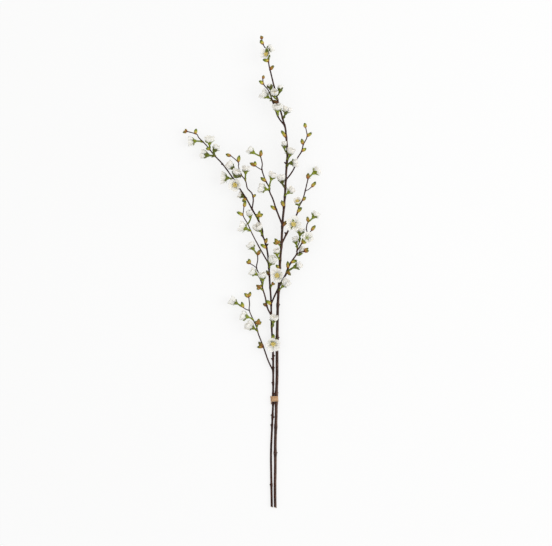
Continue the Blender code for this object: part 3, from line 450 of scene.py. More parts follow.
# Blossoms: the branch, the plan places of the stalk's foot, the seat in the calyx and a point that
# the flower faces, the width and depth of its cup in plan steps, how far it is open (0 to 1),
# its tilt up from the surface in degrees and the height of its seat above the foot in mm.
BLOOMS = [
    Bloom("right", (268.6, 60.5), (267.3, 55.2), (263.5, 52.6), 12.0, 4.6, 1.00, 54, 6),
    Bloom("right", (270.0, 94.0), (271.0, 89.0), (269.2, 84.0), 6.2, 5.4, 0.35, -5, 0),
    Bloom("right", (271.0, 100.0), (267.6, 97.0), (262.6, 93.5), 11.0, 8.0, 0.45, 5, -8),
    Bloom("right", (277.3, 99.5), (274.4, 96.6), (274.2, 91.0), 8.4, 7.0, 0.40, 35, 12),
    Bloom("right", (277.3, 95.0), (280.0, 90.3), (280.6, 86.0), 5.8, 5.0, 0.20, 10, 2),
    Bloom("right", (277.1, 115.5), (277.8, 111.4), (277.0, 105.0), 11.5, 7.0, 0.45, 18, 11),
    Bloom("right", (283.5, 118.3), (285.6, 113.4), (287.6, 108.0), 9.8, 7.0, 0.40, 8, 3),
    Bloom("left", (202.7, 142.3), (194.6, 141.0), (189.0, 141.2), 11.0, 6.8, 0.45, 0, 0),
    Bloom("left", (210.3, 149.0), (209.5, 143.4), (209.5, 138.0), 11.2, 7.0, 0.50, 14, 4),
    Bloom("left", (214.5, 156.3), (207.6, 155.1), (202.5, 154.0), 10.0, 7.0, 0.40, -10, -3),
    Bloom("left", (215.2, 155.8), (214.7, 150.4), (217.2, 145.6), 7.0, 6.0, 0.30, 10, 7),
    Bloom("left", (239.3, 171.0), (232.7, 168.0), (229.0, 164.8), 9.6, 7.6, 0.40, 12, 4),
    Bloom("left", (241.5, 175.6), (235.2, 175.5), (237.0, 170.8), 9.4, 6.2, 0.50, 22, 12),
    Bloom("left", (233.5, 180.0), (227.4, 178.0), (222.4, 177.6), 14.5, 6.6, 0.70, -5, -2),
    Bloom("left", (236.5, 184.0), (235.4, 185.4), (234.0, 184.8), 13.4, 4.2, 1.00, 80, 9),
    Bloom("left", (245.8, 180.5), (245.7, 172.4), (246.0, 167.0), 8.6, 6.6, 0.40, 5, 0),
    Bloom("left", (245.5, 198.3), (242.8, 196.2), (239.6, 194.4), 7.8, 5.4, 0.40, 0, -11),
    Bloom("right", (260.4, 156.4), (253.2, 152.6), (249.0, 149.6), 8.4, 6.4, 0.40, 5, 1),
    Bloom("right", (269.7, 188.3), (265.6, 189.4), (260.6, 188.4), 11.0, 7.4, 0.45, 10, 3),
    Bloom("right", (270.0, 187.5), (271.5, 178.9), (273.0, 174.6), 8.8, 6.8, 0.40, 12, 8),
    Bloom("right", (285.0, 188.3), (281.9, 181.9), (280.6, 176.4), 9.4, 7.0, 0.40, 10, 3),
    Bloom("right", (287.2, 153.0), (284.3, 147.1), (284.0, 142.6), 5.6, 5.8, 0.15, 12, 9),
    Bloom("right", (287.5, 161.0), (289.9, 154.9), (291.4, 149.6), 8.4, 6.8, 0.40, 20, 7),
    Bloom("right", (287.0, 166.5), (291.5, 163.3), (297.0, 163.0), 8.6, 6.6, 0.40, 6, 10),
    Bloom("right", (285.2, 196.5), (288.7, 192.4), (291.6, 190.0), 7.8, 6.2, 0.35, 15, 6),
    Bloom("right", (299.7, 205.3), (298.0, 203.4), (296.4, 198.8), 8.6, 5.4, 0.70, 45, 7),
    Bloom("right", (308.5, 177.7), (314.0, 172.8), (318.6, 169.6), 10.4, 7.0, 0.45, 0, 0),
    Bloom("left", (248.0, 223.8), (250.2, 216.6), (249.0, 211.0), 6.4, 6.6, 0.20, 12, 4),
    Bloom("left", (250.2, 231.0), (246.0, 228.6), (241.0, 226.4), 12.4, 8.0, 0.50, 0, 3),
    Bloom("left", (262.6, 235.0), (260.0, 230.3), (256.0, 224.0), 10.4, 7.2, 0.45, 25, 10),
    Bloom("left", (257.6, 254.7), (253.0, 248.5), (250.0, 243.6), 9.8, 6.6, 0.45, 8, 2),
    Bloom("right", (291.5, 225.0), (293.2, 224.6), (294.2, 223.6), 16.0, 4.8, 1.00, 80, 11),
    Bloom("left", (299.6, 241.5), (300.1, 234.2), (300.8, 229.0), 8.6, 6.4, 0.40, -6, -3),
    Bloom("left", (297.3, 248.0), (296.0, 242.6), (295.0, 238.4), 6.4, 6.4, 0.20, 5, 3),
    Bloom("left", (305.5, 237.0), (306.6, 238.0), (308.2, 237.0), 12.0, 4.2, 0.95, 66, 11),
    Bloom("left", (308.4, 221.5), (313.5, 217.0), (317.2, 212.6), 8.4, 6.4, 0.40, 5, 2),
    Bloom("left", (269.0, 268.0), (270.6, 263.9), (273.6, 257.4), 11.0, 8.6, 0.45, 18, 6),
    Bloom("right", (280.1, 260.0), (277.2, 254.2), (276.5, 249.2), 7.6, 5.8, 0.40, 14, 9),
    Bloom("right", (279.4, 277.0), (277.4, 275.8), (276.6, 275.2), 14.4, 4.4, 1.00, 80, 10),
    Bloom("left", (259.2, 275.8), (255.6, 273.9), (250.8, 271.0), 9.6, 6.6, 0.45, 12, 6),
    Bloom("left", (262.4, 285.0), (262.8, 279.4), (262.1, 274.0), 9.2, 7.2, 0.45, 16, 10),
    Bloom("left", (297.0, 254.2), (300.4, 253.4), (302.6, 249.1), 7.0, 7.2, 0.25, -4, -9),
    Bloom("left", (287.3, 273.0), (295.2, 266.8), (299.8, 264.8), 7.6, 7.2, 0.30, 12, 12),
    Bloom("right", (279.0, 290.5), (282.9, 285.9), (287.6, 280.6), 10.4, 8.2, 0.40, 14, 6),
    Bloom("left", (242.2, 306.2), (236.0, 302.9), (230.6, 299.8), 9.8, 7.4, 0.40, 6, 1),
    Bloom("left", (252.7, 320.3), (247.2, 316.9), (241.6, 315.2), 11.2, 7.2, 0.50, 8, 4),
    Bloom("left", (257.2, 331.3), (253.1, 328.0), (248.0, 325.0), 10.6, 8.0, 0.45, 10, 3),
    Bloom("left", (271.9, 327.0), (273.4, 321.4), (274.0, 316.6), 9.4, 6.4, 0.42, 22, 12),
    Bloom("left", (272.6, 344.0), (273.2, 343.0), (273.4, 348.0), 16.0, 4.8, 1.00, 64, 10),
    Bloom("right", (268.2, 53.5), (267.7, 50.6), (271.9, 47.4), 9.6, 5.6, 0.55, -12, 9),
]
# The numbers of two blossoms that lie on the surface, one on either side of the stems
RESTING = (8, 27)

# How much fuller than its solid a limb's bark is, where it is more than the others
FULLER_BARK = {
    "crossing_twig": 1.45, "crossing_twig_tip": 1.3, "crossing_twig_fork": 1.4, "low_right_twig": 1.36,
    "third_right_twig": 1.32, "second_left_twig": 1.32, "low_left_twig": 1.12, "top_right_twig": 1.22,
}

# How much of the pale, shining film of young bark a limb has. It is also painted light and shade: the left
# stem gets little, as painted shade, and the right stem much, as a painted highlight on its side towards the
# key lamp.
BARK_TONE = 0.4
BARK_FILM_AND_LIGHT = {"left_stem": 0.1, "right_stem": 0.9}

# The same turn of colour for the stalk and calyx of some blossoms, by their numbers. Those below 0 are
# darkened partly as painted shade.
CALYX_TONES = {
    2: -0.6, 4: 0.2, 5: 0.0, 6: 0.8, 7: -0.2, 10: 0.1, 11: -0.2, 12: -0.4, 13: -0.5, 15: 0.2, 17: 0.0,
    21: -1.0, 22: -0.1, 24: -0.3, 42: 0.2, 43: 0.1, 50: 0.0,
}

# How much fuller the stalk and neck of some blossoms are
FULLER_CALYXES = {2: 1.2, 5: 1.4, 10: 1.15, 11: 1.35, 12: 1.3, 13: 1.2, 21: 1.3, 24: 1.25, 43: 1.25, 50: 1.3}

# How far up its petals the sepals of a blossom reach, where they are long
SEPAL_REACH = 0.6
LONG_SEPALS = {
    2: 0.85, 5: 0.95, 7: 0.75, 8: 0.75, 10: 0.75, 11: 0.85, 12: 0.95, 13: 0.9, 14: 0.4, 21: 0.85, 24: 0.9,
    42: 0.3, 50: 0.5,
}
# Blossoms that have shed their anthers
FADED = (35,)

# Colours up a bud and up a calyx, by share of the way: the darkest, which is partly painted shade, the
# brownest and the greenest one
BUD_COLOURS = (
    {0.0: (0.26, 0.11, 0.06), 0.4: (0.40, 0.23, 0.09), 0.7: (0.36, 0.33, 0.07), 1.0: (0.23, 0.28, 0.03)},
    {
        0.0: (0.40, 0.17, 0.08), 0.3: (0.64, 0.36, 0.19), 0.52: (0.68, 0.52, 0.21),
        0.75: (0.43, 0.45, 0.08), 1.0: (0.27, 0.31, 0.04),
    },
    {
        0.0: (0.58, 0.28, 0.14), 0.22: (0.77, 0.55, 0.24), 0.38: (0.83, 0.78, 0.34),
        0.6: (0.57, 0.63, 0.16), 0.8: (0.34, 0.43, 0.05), 1.0: (0.24, 0.31, 0.03),
    },
)
CALYX_COLOURS = (
    {0.0: (0.26, 0.16, 0.07), 0.5: (0.22, 0.20, 0.04), 1.0: (0.24, 0.26, 0.03)},
    {0.0: (0.40, 0.33, 0.08), 0.35: (0.32, 0.34, 0.045), 0.7: (0.25, 0.30, 0.03), 1.0: (0.40, 0.45, 0.08)},
    {0.0: (0.56, 0.55, 0.11), 0.35: (0.54, 0.58, 0.10), 0.65: (0.44, 0.51, 0.06), 1.0: (0.66, 0.71, 0.20)},
)


class Value:
    """An output in a node tree. Numbers among them take the usual signs of arithmetic."""

    def __init__(self, graph, socket):
        self.graph = graph
        self.socket = socket

    def __add__(self, other):
        return self.graph.math("ADD", self, other)

    def __sub__(self, other):
        return self.graph.math("SUBTRACT", self, other)

    def __rsub__(self, other):
        return self.graph.math("SUBTRACT", other, self)

    def __mul__(self, other):
        return self.graph.math("MULTIPLY", self, other)

    def __truediv__(self, other):
        return self.graph.math("DIVIDE", self, other)

    __radd__ = __add__
    __rmul__ = __mul__


class Graph:
    """Adds nodes to a tree, each with what feeds it, and links them."""

    def __init__(self, tree):
        self.tree = tree

    def feed(self, socket, value):
        if isinstance(value, Value):
            self.tree.links.new(value.socket, socket)
        else:
            socket.default_value = value

    def add(self, kind, feeds=None, **settings):
        node = self.tree.nodes.new(kind)
        for key, value in settings.items():
            setattr(node, key, value)
        for key, value in (feeds or {}).items():
            self.feed(node.inputs[key], value)
        return node

    def out(self, kind, feeds=None, output=0, **settings):
        return Value(self, self.add(kind, feeds, **settings).outputs[output])

    def math(self, operation, *values):
        return self.out("ShaderNodeMath", dict(enumerate(values)), operation=operation)

    def combine(self, x, y, z):
        return self.out("ShaderNodeCombineXYZ", {"X": x, "Y": y, "Z": z})

    def split(self, vector):
        node = self.add("ShaderNodeSeparateXYZ", {"Vector": vector})
        return [Value(self, socket) for socket in node.outputs]

    def scaled(self, vector, scale):
        return self.out("ShaderNodeVectorMath", {0: vector, "Scale": scale}, operation="SCALE")

    def over(self, vector, size):
        """A vector divided by another one, part by part."""
        return self.out("ShaderNodeVectorMath", {0: vector, 1: size}, operation="DIVIDE")

    def range(self, value, low, high, start=0.0, end=1.0, smooth=False):
        """The value's way from low to high, drawn out to run from start to end."""
        kind = "SMOOTHSTEP" if smooth else "LINEAR"
        feeds = {0: value, 1: low, 2: high, 3: start, 4: end}
        return self.out("ShaderNodeMapRange", feeds, interpolation_type=kind, clamp=True)

    def noise(self, place, scale=1.0, detail=2.0, roughness=0.5):
        """Soft noise from 0 to 1."""
        feeds = {"Vector": place, "Scale": scale, "Detail": detail, "Roughness": roughness}
        return self.out("ShaderNodeTexNoise", feeds)

    def blend(self, share, first, second):
        """A colour between two others, each an output or a colour as seen on a screen."""
        feeds = {0: share, 6: linear(first), 7: linear(second)}
        return self.out("ShaderNodeMix", feeds, output=2, data_type="RGBA")


def linear(colour):
    """A colour as seen on a screen, made linear for a shader. An output stays as it is."""
    if isinstance(colour, Value):
        return colour
    parts = [part / 12.92 if part <= 0.04045 else ((part + 0.055) / 1.055) ** 2.4 for part in colour]
    return (*parts, 1.0)


SOCKETS = {
    "geometry": "NodeSocketGeometry", "number": "NodeSocketFloat", "whole": "NodeSocketInt",
    "vector": "NodeSocketVector", "material": "NodeSocketMaterial",
}


def add_sockets(tree, kinds, side):
    for name, kind in kinds.items():
        tree.interface.new_socket(name, in_out=side, socket_type=SOCKETS[kind])


def new_graph(name, kind, inputs, outputs):
    """A node group with named sockets: its graph, its inputs by name and its end node."""
    tree = bpy.data.node_groups.new(name, kind)
    add_sockets(tree, inputs, "INPUT")
    add_sockets(tree, outputs, "OUTPUT")
    graph = Graph(tree)
    start = graph.add("NodeGroupInput")
    given = {name: Value(graph, start.outputs[name]) for name in inputs}
    return graph, given, graph.add("NodeGroupOutput")


def new_shape(name, inputs):
    """A geometry tree that takes a mesh and sizes."""
    sockets = {"Geometry": "geometry", **inputs, "Material": "material"}
    return new_graph(name, "GeometryNodeTree", sockets, {"Geometry": "geometry"})


def close_shape(graph, end, geometry, material):
    """Every shape's last steps: smooth shading, real copies and the material."""
    smooth = graph.out("GeometryNodeSetShadeSmooth", {"Geometry": geometry})
    real = graph.out("GeometryNodeRealizeInstances", {"Geometry": smooth})
    dressed = graph.out("GeometryNodeSetMaterial", {"Geometry": real, "Material": material})
    graph.feed(end.inputs["Geometry"], dressed)


def stored(graph, geometry, name, value, kind="FLOAT", domain="POINT"):
    feeds = {"Geometry": geometry, "Name": name, "Value": value}
    return graph.out("GeometryNodeStoreNamedAttribute", feeds, data_type=kind, domain=domain)


def named(graph, name, kind="FLOAT"):
    return graph.out("GeometryNodeInputNamedAttribute", {"Name": name}, data_type=kind)


def drawn(graph, low, high, seed, number):
    """A random number between two others, the same for the same seed and number."""
    feeds = {2: low, 3: high, "ID": number, "Seed": seed}
    return graph.out("FunctionNodeRandomValue", feeds, output=1, data_type="FLOAT")


def tube_shape():
    """Round tubes along lines, as thick as each point says, with soft lumps."""
    inputs = {"Sides": "whole", "Lump": "number", "Lump Size": "vector"}
    graph, given, end = new_shape("Tube", inputs)
    line = graph.out("GeometryNodeMeshToCurve", {"Mesh": given["Geometry"]})
    circle = graph.out("GeometryNodeCurvePrimitiveCircle", {"Resolution": given["Sides"], "Radius": 1.0})
    spot = graph.out("GeometryNodeInputPosition")
    circle = stored(graph, circle, "ring", spot, "FLOAT_VECTOR")
    feeds = {"Curve": line, "Profile Curve": circle, "Scale": named(graph, "thick"), "Fill Caps": True}
    tube = graph.out("GeometryNodeCurveToMesh", feeds)
    ring_x, ring_y, _ = graph.split(named(graph, "ring", "FLOAT_VECTOR"))
    place = graph.combine(ring_x * RING_PLACE, ring_y * RING_PLACE, named(graph, "run"))
    tube = stored(graph, tube, "place", place, "FLOAT_VECTOR")
    noise = graph.noise(graph.over(spot, given["Lump Size"]), detail=1.0)
    normal = graph.out("GeometryNodeInputNormal")
    # How far each point faces +X, the key lamp's side, kept to paint light and shade on the bark and the
    # raffia.
    tube = stored(graph, tube, "lit_side", graph.split(normal)[0])
    offset = graph.scaled(normal, (noise - 0.5) * 2.0 * given["Lump"])
    tube = graph.out("GeometryNodeSetPosition", {"Geometry": tube, "Offset": offset})
    close_shape(graph, end, tube, given["Material"])
    return graph.tree


# The nodes of the line that a petal or a scale bends along, and what else shapes it
NODE_NAMES = ("Foot", "Belly", "Shoulder", "Tip")
LEAF_MEASURES = (
    "Half Angle", "Foot Width", "Point", "Lap", "Cup", "Ruffle", "Notch", "Sway", "Reach", "Tone",
)
LEAF_SIZES = (0.94, 1.06)
LEAF_ROLLS = (-0.3, 0.3)
LEAF_TONES = (-0.08, 0.08)
SCATTER_SIZES = (0.6, 1.3)
ANTHER_TURNS = (-1.2, 1.2)


def bezier(nodes, t):
    s = 1.0 - t
    ends = s * s * s * nodes[0] + s * s * t * 3.0 * nodes[1]
    return ends + s * t * t * 3.0 * nodes[2] + t * t * t * nodes[3]


def bezier_run(nodes, t):
    s = 1.0 - t
    steps = [after - before for before, after in zip(nodes, nodes[1:])]
    return s * s * steps[0] + s * t * 2.0 * steps[1] + t * t * steps[2]


def leaf_sheet(graph, given):
    """One round sheet: x across it from -1 to 1, y from its foot (0) to its tip (1)."""
    feeds = {"Size X": 2.0, "Size Y": 2.0, "Vertices X": given["Columns"], "Vertices Y": given["Rows"]}
    sheet = graph.out("GeometryNodeMeshGrid", feeds)
    across, along, _ = graph.split(graph.out("GeometryNodeInputPosition"))
    x = across * graph.math("SQRT", 1.0 - along * along * 0.5)
    y = along * graph.math("SQRT", 1.0 - across * across * 0.5)
    spot = graph.combine(x, y * 0.5 + 0.5, 0.0)
    sheet = graph.out("GeometryNodeSetPosition", {"Geometry": sheet, "Position": spot})
    return stored(graph, sheet, "place", graph.out("GeometryNodeInputPosition"), "FLOAT_VECTOR")


def ring_copies(graph, geometry, count):
    """Copies of a sheet, each with its number."""
    single = graph.out("GeometryNodeGeometryToInstance", {"Geometry": geometry})
    feeds = {"Geometry": single, "Amount": count}
    node = graph.add("GeometryNodeDuplicateElements", feeds, domain="INSTANCE")
    copies, number = (Value(graph, socket) for socket in node.outputs[:2])
    copies = stored(graph, copies, "leaf", number, "INT", "INSTANCE")
    return graph.out("GeometryNodeRealizeInstances", {"Geometry": copies})


def whorl_shape():
    """A whorl of petals, sepals or bud scales about +Z, each bent along one line."""
    inputs = dict.fromkeys(("Count", "Columns", "Rows", "Seed"), "whole")
    inputs.update(dict.fromkeys(NODE_NAMES, "vector"))
    inputs.update(dict.fromkeys(LEAF_MEASURES, "number"))
    graph, given, end = new_shape("Whorl", inputs)
    copies = ring_copies(graph, leaf_sheet(graph, given), given["Count"])
    leaf = named(graph, "leaf", "INT")
    x, along, _ = graph.split(named(graph, "place", "FLOAT_VECTOR"))
    notch = graph.math("EXPONENT", x * x * NOTCH_NARROWNESS) * given["Notch"]
    t = along * (1.0 - notch * along * along * along)
    nodes = [graph.split(given[name]) for name in NODE_NAMES]
    radii = [node[0] for node in nodes]
    heights = [node[1] for node in nodes]
    size = drawn(graph, *LEAF_SIZES, given["Seed"], leaf)
    sway = drawn(graph, -1.0, 1.0, given["Seed"] + 1.0, leaf) * given["Sway"]
    roll = drawn(graph, *LEAF_ROLLS, given["Seed"] + 2.0, leaf) * given["Sway"]
    out_far = (bezier(radii, t) - radii[0]) * size
    up_far = (bezier(heights, t) - heights[0]) * size
    radius = radii[0] + out_far + sway * up_far
    height = heights[0] + up_far - sway * out_far
    run_out = bezier_run(radii, t)
    run_up = bezier_run(heights, t)
    length = graph.math("SQRT", run_out * run_out + run_up * run_up + 1e-12)
    spot = graph.combine(x * 1.3, t * 2.2, leaf + given["Seed"])
    ruffle = (graph.noise(spot, 1.6, 1.0) - 0.5) * 2.0 * t * t * given["Ruffle"]
    outward = x * given["Lap"] - x * x * given["Cup"] + ruffle
    radius = radius + run_up / length * outward
    height = height - run_out / length * outward
    narrow = graph.range(t, 0.0, 0.5, given["Foot Width"], 1.0, smooth=True)
    tip = 1.0 - given["Point"] + given["Point"] * graph.math("SQRT", 1.0 - t)
    angle = leaf * math.tau / given["Count"] + roll + x * given["Half Angle"] * narrow * tip
    spot = graph.combine(radius * graph.math("COSINE", angle), radius * graph.math("SINE", angle), height)
    whorl = graph.out("GeometryNodeSetPosition", {"Geometry": copies, "Position": spot})
    whorl = stored(graph, whorl, "rise", t * given["Reach"])
    tone = given["Tone"] + drawn(graph, *LEAF_TONES, given["Seed"] + 3.0, leaf)
    whorl = stored(graph, whorl, "tone", tone)
    close_shape(graph, end, whorl, given["Material"])
    return graph.tree


def scattered(graph, given, thing, height, lean):
    """Copies of a small thing all over a surface, each with its own size and lean."""
    feeds = {"Mesh": given["Geometry"], "Density": given["Density"], "Seed": given["Seed"]}
    scatter = graph.add("GeometryNodeDistributePointsOnFaces", feeds)
    points, _, rotation = (Value(graph, socket) for socket in scatter.outputs)
    number = graph.out("GeometryNodeInputIndex")
    size = drawn(graph, *SCATTER_SIZES, given["Seed"], number)
    if lean:
        turns = [drawn(graph, -lean, lean, given["Seed"] + float(i), number) for i in (1, 2)]
        feeds = {"Rotation": rotation, "Rotate By": graph.combine(*turns, 0.0)}
        rotation = graph.out("FunctionNodeRotateRotation", feeds, rotation_space="LOCAL")
    scale = graph.combine(size, size, size * height)
    feeds = {"Points": points, "Instance": thing, "Rotation": rotation, "Scale": scale}
    return graph.out("GeometryNodeInstanceOnPoints", feeds)


def dot_shape():
    """Small raised dots scattered over a surface, flattened against it."""
    inputs = {"Density": "number", "Dot Size": "number", "Flatness": "number", "Seed": "whole"}
    graph, given, end = new_shape("Dots", inputs)
    dot = graph.out("GeometryNodeMeshIcoSphere", {"Radius": given["Dot Size"], "Subdivisions": 1})
    close_shape(graph, end, scattered(graph, given, dot, given["Flatness"], 0.0), given["Material"])
    return graph.tree


def hair_shape():
    """Fine hairs all over a surface, each a thin closed spike that leans its own way."""
    inputs = {"Density": "number", "Length": "number", "Radius": "number", "Seed": "whole"}
    graph, given, end = new_shape("Hairs", inputs)
    feeds = {"Vertices": 3, "Radius Top": 0.0, "Radius Bottom": given["Radius"], "Depth": given["Length"]}
    spike = graph.out("GeometryNodeMeshCone", feeds)
    close_shape(graph, end, scattered(graph, given, spike, 1.0, HAIR_LEAN), given["Material"])
    return graph.tree


def anther_shape():
    """Two-lobed anthers, one on every point, turned at random."""
    graph, given, end = new_shape("Anthers", {"Lobe": "number", "Seed": "whole"})
    ball = graph.out("GeometryNodeMeshIcoSphere", {"Radius": given["Lobe"], "Subdivisions": 1})
    lobes = []
    for side in (-LOBE_SHIFT, LOBE_SHIFT):
        shift = graph.combine(given["Lobe"] * side, 0.0, 0.0)
        feeds = {"Geometry": ball, "Translation": shift, "Scale": LOBE_SCALE}
        lobes.append(graph.out("GeometryNodeTransform", feeds))
    join = graph.add("GeometryNodeJoinGeometry")
    for lobe in lobes:
        graph.feed(join.inputs[0], lobe)
    number = graph.out("GeometryNodeInputIndex")
    turns = [drawn(graph, *ANTHER_TURNS, given["Seed"] + float(i), number) for i in range(3)]
    feeds = {
        "Points": graph.out("GeometryNodeMeshToPoints", {"Mesh": given["Geometry"]}),
        "Instance": Value(graph, join.outputs[0]), "Rotation": graph.combine(*turns),
    }
    anthers = graph.out("GeometryNodeInstanceOnPoints", feeds)
    close_shape(graph, end, anthers, given["Material"])
    return graph.tree


def new_object(name, data):
    thing = bpy.data.objects.new(name, data)
    bpy.context.scene.collection.objects.link(thing)
    return thing


def give_shape(name, mesh, tree, values, thickness=0.0):
    """An object that a tree shapes. Its wall gets a thickness where one is given."""
    draft = new_object(name, mesh)
    shape = draft.modifiers.new("Shape", "NODES")
    shape.node_group = tree
    for item in tree.interface.items_tree:
        if item.in_out == "INPUT" and item.name in values:
            shape[item.identifier] = values[item.name]
    if thickness:
        wall = draft.modifiers.new("Wall", "SOLIDIFY")
        wall.thickness = thickness
        wall.offset = 0.0
    return draft


def start_tube(name, lines, material, kit, sides, lump=0.0, lump_size=(1.0,) * 3):
    """A draft of round tubes along lines."""
    values = {"Sides": sides, "Lump": lump, "Lump Size": lump_size, "Material": kit[material]}
    return give_shape(name, line_mesh(name, lines), kit["tube"], values)


def start_whorl(name, nodes, thickness, material, kit, **sizes):
    """A draft of petals, sepals, bracts or bud scales that stand round +Z."""
    values = {key.replace("_", " ").title(): size for key, size in sizes.items()}
    values.update((key, tuple(node)) for key, node in zip(NODE_NAMES, nodes))
    values["Material"] = kit[material]
    return give_shape(name, bpy.data.meshes.new(name), kit["whorl"], values, thickness)


def settle(draft, place=None):
    """Turns a draft into a plain mesh at its place, and drops its modifiers."""
    graph = bpy.context.evaluated_depsgraph_get()
    mesh = bpy.data.meshes.new_from_object(
        draft.evaluated_get(graph), preserve_all_data_layers=True, depsgraph=graph
    )
    draft.modifiers.clear()
    draft.data = mesh
    if place is not None:
        mesh.transform(place)
    return draft


def join(name, pieces):
    """One object of several, with their materials and attributes."""
    first = pieces[0]
    if len(pieces) > 1:
        with bpy.context.temp_override(
            object=first, active_object=first, selected_objects=pieces, selected_editable_objects=pieces
        ):
            bpy.ops.object.join()
    first.name = name
    first.data.name = name
    return first


def hand_over_hairy(name, slot, side, drafts, kit):
    """Puts drafts in the frame as one piece with fine hairs all over it. Each comes with its place."""
    piece = join(f"{name}_{side}", [settle(draft, place) for draft, place in drafts])
    values = {**HAIR_SIZES, "Material": kit["hair"]}
    hairs = give_shape(f"{piece.name}_hairs", piece.data.copy(), kit["hairs"], values)
    hand_over(join(piece.name, [piece, settle(hairs)]), slot, f"branch_{side}")


def keep_off_surface(mesh):
    """Presses what would sink into the surface flat just above it."""
    for vertex in mesh.vertices:
        if vertex.co.z < PRESSED_BELOW:
            vertex.co.z = PRESSED_BELOW + (vertex.co.z - PRESSED_BELOW) * PRESSED_SHARE


def hand_over(piece, slot, *nodes):
    """Puts a finished piece in the frame, in place of nodes of the part."""
    keep_off_surface(piece.data)
    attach(piece, BODY)
    if nodes:
        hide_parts(*nodes)


def plan(x, y, z=0.0):
    """A plan place at height z, in metres."""
    return Vector(((x - TIE_X) * STEP, (TIE_Y - y) * STEP, z))


def mix(a, b, t):
    return a + (b - a) * t


def smooth_between(knots, i, f):
    """A smooth value at share f of the way from knot i to the next one."""
    before = knots[max(i - 1, 0)]
    start = knots[i]
    end = knots[i + 1]
    after = knots[min(i + 2, len(knots) - 1)]
    slope_in = (end - before) / 2
    slope_out = (after - start) / 2
    f2 = f * f
    f3 = f2 * f
    return (
        (2 * f3 - 3 * f2 + 1) * start + (f3 - 2 * f2 + f) * slope_in
        + (3 * f2 - 2 * f3) * end + (f3 - f2) * slope_out
    )


def knot_value(knots, t):
    place = min(max(t, 0.0), 1.0) * (len(knots) - 1)
    i = min(int(place), len(knots) - 2)
    return smooth_between(knots, i, place - i)


def lengths_along(points):
    """How far along its line each point lies."""
    lengths = [0.0]
    for a, b in zip(points, points[1:]):
        lengths.append(lengths[-1] + (b - a).length)
    return lengths


class Route:
    """The middle line of a limb, with its radius at every point."""

    def __init__(self, limb, routes):
        flat = [plan(x, y) for x, y in limb.points]
        base = 0.0
        if limb.parent:
            root = routes[limb.parent].nearest(flat[0])
            flat[0] = Vector((root.x, root.y, 0.0))
            base = root.z
        lengths = lengths_along(flat)
        self.on_surface = not limb.parent
        self.points = []
        self.radii = []
        for place, length in zip(flat, lengths):
            t = length / lengths[-1]
            height = base + knot_value(limb.heights, t) * MM
            self.points.append(Vector((place.x, place.y, height)))
            self.radii.append(knot_value(limb.widths, t) * MM / 2)

    def nearest(self, place):
        """The point of the middle line nearest to a plan place, seen from above."""
        best = None
        for a, b in zip(self.points, self.points[1:]):
            run = Vector((b.x - a.x, b.y - a.y))
            off = Vector((place.x - a.x, place.y - a.y))
            t = min(max(off.dot(run) / run.length_squared, 0.0), 1.0)
            point = a.lerp(b, t)
            distance = math.hypot(point.x - place.x, point.y - place.y)
            if best is None or distance < best[0]:
                best = (distance, point)
        return best[1]

    def fine_line(self, knots, fullness, tone):
        """The limb drawn in short steps, swollen at its knots and clear of the surface."""
        points = []
        radii = []
        for i, (a, b) in enumerate(zip(self.points, self.points[1:])):
            steps = max(1, round((b - a).length / LINE_STEP))
            for step in range(steps):
                f = step / steps
                points.append(smooth_between(self.points, i, f))
                radii.append(smooth_between(self.radii, i, f) * fullness + BARK_SKIN)
        points.append(self.points[-1].copy())
        radii.append(self.radii[-1] * fullness + BARK_SKIN)
        for i, point in enumerate(points):
            reach = NODE_REACH * radii[i] + KNOT_SPREAD
            near = min(((point - knot).length for knot in knots), default=1.0)
            radii[i] *= 1 + NODE_SWELL * math.exp(-((near / reach) ** 2))
            if self.on_surface:
                point.z = max(point.z, radii[i] + BARK_LUMP + REST_CLEARANCE)
        return Line(points, radii, tone)


def build_routes(limbs):
    routes = {}
    for limb in limbs:
        routes[limb.name] = Route(limb, routes)
    return routes


def nearest_on(routes, x, y):
    """The nearest point on any limb of a branch, seen from above."""
    place = plan(x, y)
    feet = [route.nearest(place) for route in routes.values()]
    return min(feet, key=lambda foot: math.hypot(foot.x - place.x, foot.y - place.y))


def stand(axis, roll, foot):
    """The move that stands a piece's +Z along an axis, with its own origin at the foot."""
    guide = axis.orthogonal().normalized()
    across = (guide - guide.dot(axis) * axis).normalized()
    turn = Matrix((across, axis.cross(across), axis)).transposed().to_4x4()
    return Matrix.Translation(foot) @ turn @ Matrix.Rotation(roll, 4, "Z")


def line_mesh(name, lines):
    """One mesh of many lines. Each point has its thickness, its way along and the line's tone."""
    places = []
    edges = []
    values = {"thick": [], "run": [], "rise": [], "tone": []}
    for line in lines:
        first = len(places)
        count = len(line.points)
        lengths = lengths_along(line.points)
        places.extend(line.points)
        edges.extend((first + i, first + i + 1) for i in range(count - 1))
        values["thick"].extend(line.radii)
        values["run"].extend(lengths)
        values["rise"].extend(length / lengths[-1] for length in lengths)
        values["tone"].extend([line.tone] * count)
    mesh = bpy.data.meshes.new(name)
    mesh.from_pydata(places, edges, [])
    for key, numbers in values.items():
        mesh.attributes.new(key, "FLOAT", "POINT").data.foreach_set("value", numbers)
    return mesh


def curved_line(start, middle, end, steps):
    """Points on the curve from start to end that leans towards the middle point."""
    points = []
    for step in range(steps + 1):
        t = step / steps
        points.append((1 - t) ** 2 * start + 2 * t * (1 - t) * middle + t * t * end)
    return points


def mottle_group():
    """Soft patches of two sizes, as a mask from 0 to 1."""
    inputs = {"Place": "vector", "Patch": "vector", "Contrast": "number"}
    graph, given, end = new_graph("Mottle", "ShaderNodeTree", inputs, {"Mask": "number"})
    place = graph.over(given["Place"], given["Patch"])
    patches = graph.noise(place) * 0.7 + graph.noise(place, 4.5, 3.0) * 0.3
    mask = (patches - 0.5) * given["Contrast"] + 0.5
    graph.feed(end.inputs["Mask"], graph.range(mask, 0.0, 1.0))
    return graph.tree


